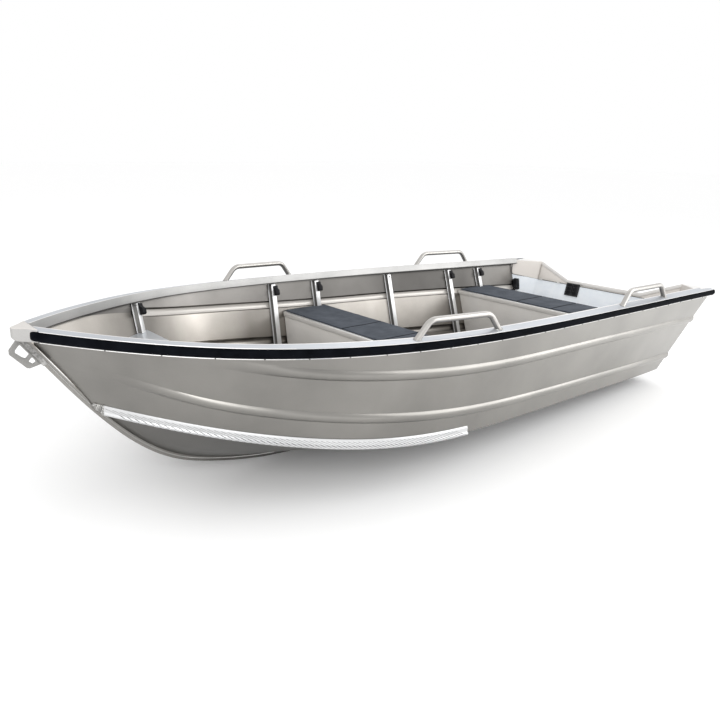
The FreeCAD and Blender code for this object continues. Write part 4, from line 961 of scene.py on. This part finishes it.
RECESS_MIDDLES = (-0.218, -0.174)
RECESS_ROWS = ((0.402, 0.424), (0.428, 0.45), (0.456, 0.471))
RECESS_HALF = 0.015
RECESS_RANGE = (0.0275, 0.05)
RECESS_FACES = 0.0283
CLIP_MIDDLES = (-0.45, -0.31)
CLIP_HALF = 0.01
CLIP_RANGE = (0.015, 0.03)
CLIP_HEIGHTS = (0.4625, 0.4725)

two_tone(bevelled("transom", WING, 0.0006), HULL_SHEET, lambda n: n.x < -0.5)
# The cap's upward faces get a painted highlight.
two_tone(bevelled("transom_cap", CAP, 0.0012, 3), PALE_CLIPS_AND_HIGHLIGHT, lambda n: n.z > 0.6)
# The board's top faces get painted shadow, for the dark line between it and the wing.
two_tone(bevelled("transom_board", BOARD, 0.002, 3), PAINTED_SHADOW, lambda n: n.z > 0.75)
for side, _ in SIDES:
    # The knees' upward faces get a painted highlight.
    two_tone(bevelled(f"stern_knee_{side}", KNEE_SHADE, 0.0002, 1), PALE_CLIPS_AND_HIGHLIGHT, lambda n: n.z > 0.5)

# The motor pad is a lighter copy of the black plastic, a painted highlight, and the faces in its recesses go
# back to plain black as painted shade.
pad = bevelled("motor_pad", PAD_PLASTIC_HIGHLIGHT, 0.003, 3)
carve(pad, transom_block([(RECESS_RANGE, (middle - RECESS_HALF, middle + RECESS_HALF), row)
                          for middle in RECESS_MIDDLES for row in RECESS_ROWS]))
pad.data.materials.append(PLASTIC)
transom_foot = on_transom(0, 0, 0)
forward = on_transom(1, 0, 0) - transom_foot
for polygon in pad.data.polygons:
    if float((np.array(polygon.center) - transom_foot) @ forward) < RECESS_FACES:
        polygon.material_index = 1

clips = [(CLIP_RANGE, (middle - CLIP_HALF, middle + CLIP_HALF), CLIP_HEIGHTS) for middle in CLIP_MIDDLES]
dress("board_clips", transom_block(clips), PALE_CLIPS_AND_HIGHLIGHT)


# Ribs, thwarts, locker and bow fittings

bevelled("bottom_ribs", INNER, 0.001)
for name in ("front_thwart", "aft_thwart"):
    bevelled(f"{name}_box", PANEL, 0.0008)
    # The seats get a painted highlight along their top edges, and the thwart panel's colour on their front
    # faces.
    two_tone(bevelled(f"{name}_seat", PALE_CLIPS_AND_HIGHLIGHT, 0.003), PANEL, lambda n: abs(n.x) > 0.94)
bevelled("bow_locker_box", PANEL, 0.0008)
bevelled("bow_deck", DECK, 0.001)
# The casting's upward faces get a painted highlight.
two_tone(bevelled("bow_casting", CAST, 0.003, 3), CAST_TOP_HIGHLIGHT, lambda n: n.z > 0.35)
bevelled("bow_eye_plate", EYE, 0.0018, 3)
bevelled("stem_channel", CHANNEL, rough=(0.0016, 0.003, 0.005))


# Foam pads

PAD_FLAT_ANGLE = 2
PAD_ROUND = 0.004
PAD_SHADE_EDGE = 0.0042
PAD_TOP = 0.002
PAD_WAVE = 0.0006
PAD_LONGEST = 0.02
PAD_SHARP = 60


def foam_pad(name):
    """A soft slab with rolled edges and a slightly uneven top."""
    data = opened(name, PAD_FLAT_ANGLE)
    bmesh.ops.bevel(data, geom=data.edges[:], offset=PAD_ROUND, segments=3, affect="EDGES", profile=0.5)
    split_long_edges(data, PAD_LONGEST, 5)
    top = max(vert.co.z for vert in data.verts)
    for vert in data.verts:
        if vert.co.z > top - PAD_TOP:
            wave = math.sin(vert.co.x * 31 + 1.7 * math.sin(vert.co.y * 17)) * math.sin(vert.co.y * 27)
            vert.co.z -= PAD_WAVE * (1 + wave)
    mesh = stored(data, bpy.data.meshes.new(name))
    piece = dress(f"{name}_piece", mesh, FOAM, [name], PAD_SHARP)
    # Faces near the pad's ends get a darker copy of the foam: painted shade in the seams between pads
    mesh.materials.append(FOAM_EDGE_SHADE)
    ends = [vert.co.y for vert in mesh.vertices]
    for polygon in mesh.polygons:
        if min(polygon.center.y - min(ends), max(ends) - polygon.center.y) < PAD_SHADE_EDGE:
            polygon.material_index = 1


for thwart in ("front_pad", "aft_pad"):
    for number in range(1, 5):
        foam_pad(f"{thwart}_{number}")


# Grab handles

HANDLES = (("front_handle", 0.552 * LENGTH, 0.43), ("aft_handle", 0.1635 * LENGTH, 0.45))
HANDLE_RADIUS = 0.0125
HANDLE_RISE = 0.068
HANDLE_RUN = 0.057
HANDLE_BEND = 0.058
BEND_STEPS = 12
TUBE_FACETS = 28
TUBE_SHARP = 40
WELD_SPREAD = 1.05


def handle_path(length):
    """Middle line of a bent tube in its own frame, from the aft foot to the forward one."""
    corner = np.array([HANDLE_RUN, 0, HANDLE_RISE])
    leg = unit(corner)
    turn = math.acos(leg[0])
    start_bend = corner - leg * HANDLE_BEND * math.tan(turn / 2)
    normal = np.array([leg[2], 0, -leg[0]])
    centre = start_bend + normal * HANDLE_BEND
    half = [np.zeros(3), start_bend * 0.5]
    for step in range(BEND_STEPS + 1):
        angle = turn * step / BEND_STEPS
        radial = -normal * math.cos(angle) + leg * math.sin(angle)
        half.append(centre + radial * HANDLE_BEND)
    far = [np.array([length - p[0], 0, p[2]]) for p in half[::-1]]
    return half + [np.array([length / 2, 0, HANDLE_RISE])] + far


def handle(name, aft, length):
    """A tube on both sides that stands on the gunwale's flange, and the loops of its port welds."""
    heel = from_rail(aft, 0, -RAIL_WIDTH / 2)
    toe = from_rail(aft + length, 0, -RAIL_WIDTH / 2)
    along = unit(toe - heel)
    side = unit(np.cross([0, 0, 1], along))
    upward = np.cross(along, side)
    tilt = rail_lean(aft)
    base = heel + np.array([0, 0, 2 * GAP])

    def on_rail(p):
        return base + along * p[0] + side * p[1] + upward * p[2]

    path = handle_path(float(np.linalg.norm(toe - heel)))
    rings = []
    for i, point in enumerate(path):
        before, after = path[max(0, i - 1)], path[min(len(path) - 1, i + 1)]
        direction = unit(after - before)
        normal = np.array([-direction[2], 0, direction[0]])
        ring = circle(point, np.array([0, 1, 0]), normal, HANDLE_RADIUS, TUBE_FACETS)
        if i in (0, len(path) - 1):
            fall = direction[2] * math.cos(tilt)
            ring = [p - direction * ((p[1] * math.sin(tilt) + p[2] * math.cos(tilt)) / fall) for p in ring]
        rings.append(ring)
    points = [on_rail(p) for ring in rings for p in ring]
    faces = tube_faces(len(rings), TUBE_FACETS)
    for side_name, sign in SIDES:
        piece = new_piece(f"{name}_piece_{side_name}", *on_side(sign, points, faces), TUBE, "handle_tube",
                          [f"{name}_{side_name}"], TUBE_SHARP)
        # The tube's downward faces get painted shade.
        two_tone(piece, TUBE_UNDER_SHADE, lambda n: n.z < -0.25)
    loops = []
    for ring in (rings[0], rings[-1]):
        middle = sum(ring) / len(ring)
        loops.append([on_rail(middle + (p - middle) * WELD_SPREAD + np.array([0, 0, 2 * GAP])) for p in ring])
    return loops


# Weld beads, joined into one piece

BEAD_SIDES = 6
BEAD_SHARP = 50


def resampled(path, step, closed):
    """Even steps along a path."""
    spots = [np.array(p, float) for p in path]
    if closed:
        spots.append(spots[0])
    lengths = np.cumsum([0] + [float(np.linalg.norm(b - a)) for a, b in zip(spots, spots[1:])])
    count = max(4, int(lengths[-1] / step))
    array = np.array(spots)
    return [np.array([np.interp(s, lengths, array[:, k]) for k in range(3)])
            for s in np.linspace(0, lengths[-1], count, endpoint=not closed)]


def bead_mesh(path, radius, closed, pitch):
    """A rippled bead of metal along a path."""
    spots = resampled(path, pitch / 2, closed)
    points = []
    for i, spot in enumerate(spots):
        before = spots[i - 1] if closed or i else spots[0]
        after = spots[(i + 1) % len(spots)] if closed or i < len(spots) - 1 else spots[-1]
        direction = unit(after - before)
        first = unit(np.cross(direction, [0.3, 0.2, 1.0]))
        second = np.cross(direction, first)
        swell = radius * (1.0 + 0.22 * (1 if i % 2 else -1) + 0.08 * math.sin(i * 1.9))
        points += circle(spot, first, second, swell, BEAD_SIDES)
    faces = tube_faces(len(spots), BEAD_SIDES, not closed)
    if closed:
        last = (len(spots) - 1) * BEAD_SIDES
        for i in range(BEAD_SIDES):
            j = (i + 1) % BEAD_SIDES
            faces.append((last + i, last + j, j, i))
    return points, faces


def bead_pair(path, radius, pitch):
    """Beads along a path and its mirror image."""
    return [bead_mesh(run, radius, False, pitch) for run in (path, [p * MIRROR for p in path])]


BEAD_RADIUS = 0.0022
BEAD_PITCH = 0.006
FINE_PITCH = 0.004
BAR_WELD = (2.6, 3.46)
STEM_WELD = (3.46, 3.655)
STEM_WELD_DEPTH = 0.85
STEM_WELD_RADIUS = 0.0026
STRIP_FORE_WELD = ((-0.003, 0.002), (0, 0.013), (0.008, 0.013), (0.012, 0.006), (0.03, 0.003), (0.037, 0.0))
STRIP_FORE_RADIUS = 0.003
STRIP_RUN_ON = ((0.004, 0.006, 0.035), (0.013, 0.0065, 0.042), (0.023, 0.0055, 0.036),
                (0.032, 0.0045, 0.024))
STRIP_AFT_WELD = (-0.004, 0.01, 0.025, 0.037)
STRIP_AFT_RADIUS = 0.0024
WELD_SINK = 0.0005
WELD_OVERLAP = 0.001
strip_aft, strip_fore = STRIP_SPAN

# Round the feet of the port handles
beads = []
for name, aft, length in HANDLES:
    beads += [bead_mesh(loop, BEAD_RADIUS, True, FINE_PITCH) for loop in handle(name, aft, length)]

# Along the bar and up the stem
beads += bead_pair([np.array([x, BAR_WIDTH / 2, keel_height_at(x, BAR_SHOW) - WELD_SINK])
                    for x in spaced(*BAR_WELD, 60)], BEAD_RADIUS, BEAD_PITCH)
beads += bead_pair([keel_point(x, BAR_SHOW * STEM_WELD_DEPTH, BAR_WIDTH / 2)
                    for x in spaced(*STEM_WELD, 60)], STEM_WELD_RADIUS, BEAD_PITCH)

# Round the strip's fore end, on from it to the stem, and across its aft end
strip_end = [from_chine(strip_fore - WELD_OVERLAP, rise, out) for rise, out in STRIP_FORE_WELD]
strip_end = [p for p in strip_end if p[1] > BAR_WIDTH / 2 - WELD_OVERLAP]
beads += bead_pair(strip_end, STRIP_FORE_RADIUS, FINE_PITCH)
for rise, radius, run in STRIP_RUN_ON:
    path = [from_chine(x, rise, SKIN_OUTER + WELD_OVERLAP) for x in spaced(strip_fore, strip_fore + run, 8)]
    beads += bead_pair([p for p in path if p[1] > BAR_WIDTH / 2], radius, BEAD_PITCH)
beads += bead_pair([from_chine(strip_aft + WELD_OVERLAP, rise, -WELD_OVERLAP) for rise in STRIP_AFT_WELD],
                   STRIP_AFT_RADIUS, FINE_PITCH)
new_piece("weld_beads", *merged(beads), WELD, "hull_trim", sharp=BEAD_SHARP)


# Seams beside and under the stern knees, along, across and up the transom, with their radius; the corner and
# board seams are beads along real joints, coloured near-black as painted shadow

SEAM_PITCH = 0.008
SEAMS = (
    ("wing_seams", KNEE_SHADE, ((0.0125, 0.4878, 0.468), (0.0125, 0.4878, 0.574)), 0.0018),
    ("corner_seams", PAINTED_SHADOW, ((0.126, 0.629, 0.47), (0.126, 0.646, 0.552)), 0.0028),
    ("board_seams", PAINTED_SHADOW, ((0.1262, 0.628, 0.4652), (0.014, 0.489, 0.4652), (0.024, 0.47, 0.4665),
                                (0.024, 0.001, 0.4665)), 0.0018),
)
for name, material, line, radius in SEAMS:
    path = [on_transom(*spot) + ORIGIN for spot in line]
    new_piece(name, *merged(bead_pair(path, radius, SEAM_PITCH)), material, "inner_metal", sharp=BEAD_SHARP)


# Slanting marks on the strip

MARK_SPACING = 0.02
MARK_WIDTH = 0.0045
MARK_SLANT = 2.6
MARK_SINK = -0.0003
MARK_LIFT = 0.0005
MARK_SECTION = ((0.0005, 0.0141), (0.0078, 0.0141), (0.0125, 0.0068), (0.0278, 0.0043))
MARK_MARGINS = (0.012, 0.075)
MARK_SHARP = 20


def strip_mark(x):
    """A thin raised stroke that crosses the strip's section from its foot to its top, slanting forward."""
    points = []
    for rise, out in MARK_SECTION:
        for offset, lift in ((-MARK_WIDTH / 2, MARK_SINK), (0, MARK_LIFT), (MARK_WIDTH / 2, MARK_SINK)):
            points.append(from_chine(x + MARK_SLANT * rise + offset, rise, out + lift))
    faces = [(0, 2, 1), (9, 10, 11)]
    for k in range(0, 9, 3):
        faces += [(k, k + 1, k + 4, k + 3), (k + 1, k + 2, k + 5, k + 4), (k, k + 3, k + 5, k + 2)]
    return points, faces


marks = []
for x in np.arange(strip_aft + MARK_MARGINS[0], strip_fore - MARK_MARGINS[1], MARK_SPACING):
    marks += on_both_sides(*strip_mark(x))
new_piece("strip_ridges", *merged(marks), MARK, "hull_trim", sharp=MARK_SHARP)


# Screws along the gunwale's lower edge and in the hooks on the posts

SCREW_FACETS = 12
SCREW_SHARP = 40
SCREW_RINGS = ((1.0, -0.4), (1.0, 0.35), (0.8, 0.8), (0.42, 1.0), (0.3, 0.45))
RAIL_SCREW = (0.0028, 0.0012)
RAIL_SCREW_PLACE = (0.0405, 0.0042)
RAIL_SCREW_SPAN = (0.12, 3.5)
RAIL_SCREWS = 24
HOOK_SCREW = (0.005, 0.002)
HOOK_SCREW_DOWN = 0.062
HOOK_SCREW_INWARD = 0.0279
HOOK_STATIONS = (3.06, 2.162, 1.856, 1.299, 0.776, 0.498)


def screw_head(centre, axis, radius, height):
    """A small domed head with a dimple."""
    axis = unit(np.array(axis, float))
    first = unit(np.cross(axis, [0.31, 0.17, 0.9]))
    second = np.cross(axis, first)
    points = []
    for share, rise in SCREW_RINGS:
        points += circle(centre + axis * height * rise, first, second, radius * share, SCREW_FACETS)
    return points, tube_faces(len(SCREW_RINGS), SCREW_FACETS)


screws = []
for x in spaced(*RAIL_SCREW_SPAN, RAIL_SCREWS):
    outward = np.array([0, math.cos(rail_lean(x)), -math.sin(rail_lean(x))])
    screws += on_both_sides(*screw_head(from_rail(x, *RAIL_SCREW_PLACE), outward, *RAIL_SCREW))
for x in HOOK_STATIONS:
    spot = from_sheer(x, HOOK_SCREW_DOWN, -HOOK_SCREW_INWARD)
    screws += on_both_sides(*screw_head(spot, -side_axes(x)[1], *HOOK_SCREW))
new_piece("screws", *merged(screws), STEEL, "hull_trim", sharp=SCREW_SHARP)


# Camera

CAMERA_PLACE = (2.871, 2.451, 1.263)
YAW, PITCH, ROLL = math.radians(37.557), math.radians(16.421), math.radians(0.966)
LENS = 35.483
SENSOR = 36
SHIFT = (0.07495, -0.01223)

view = Vector((-math.sin(YAW) * math.cos(PITCH), -math.cos(YAW) * math.cos(PITCH), -math.sin(PITCH)))
right = view.cross(Vector((0, 0, 1))).normalized()
up = right.cross(view)
right_turned = right * math.cos(ROLL) + up * math.sin(ROLL)
up_turned = up * math.cos(ROLL) - right * math.sin(ROLL)
camera = placed("camera", bpy.data.cameras.new("camera"))
turn = Matrix((right_turned, up_turned, -view)).transposed()
camera.matrix_world = Matrix.Translation(CAMERA_PLACE) @ turn.to_4x4()
camera.data.lens = LENS
camera.data.sensor_width = SENSOR
camera.data.sensor_fit = "HORIZONTAL"
camera.data.shift_x, camera.data.shift_y = SHIFT
camera.data.clip_end = 200
bpy.context.scene.camera = camera


# Floor, backdrop and light

KEEL_RUN = (0.2, 3.4)
FLOOR = min(keel_z(x) for x in spaced(*KEEL_RUN, 200)) - ORIGIN[2]
REACH = 40
corners = ((-REACH, -REACH), (REACH, -REACH), (REACH, REACH), (-REACH, REACH))
mesh = mesh_from("floor", [(x, y, FLOOR) for x, y in corners], [(0, 1, 2, 3)])
floor = placed("floor", mesh)
pale, tree, surface = shader("floor")
fill(tree, surface, {"Base Color": (0.995, 0.995, 0.995, 1), "Roughness": 0.9, "Specular IOR Level": 0.1})
mesh.materials.append(pale)

world = bpy.data.worlds.new("world")
bpy.context.scene.world = world
world.use_nodes = True
fill(world.node_tree, world.node_tree.nodes["Background"], {"Color": (1, 1, 1, 1), "Strength": 1.0})


def area_light(name, place, target, size, power):
    data = bpy.data.lights.new(name, "AREA")
    data.shape = "RECTANGLE"
    data.size, data.size_y = size
    data.energy = power
    lamp = placed(name, data)
    lamp.location = place
    lamp.rotation_euler = (Vector(target) - Vector(place)).to_track_quat("-Z", "Y").to_euler()


area_light("top", (-2.3, -1.4, 3.9), (0.2, 0, 0.3), (4, 3), 30)
area_light("port_aft", (-3.9, 4.2, 2.3), (0.2, 0.4, 0.3), (5, 4.2), 190)
area_light("port_fore", (4.6, 3.9, 2.0), (1.4, 0.4, 0.3), (3.4, 3.4), 140)

bpy.context.scene.view_settings.view_transform = "Standard"
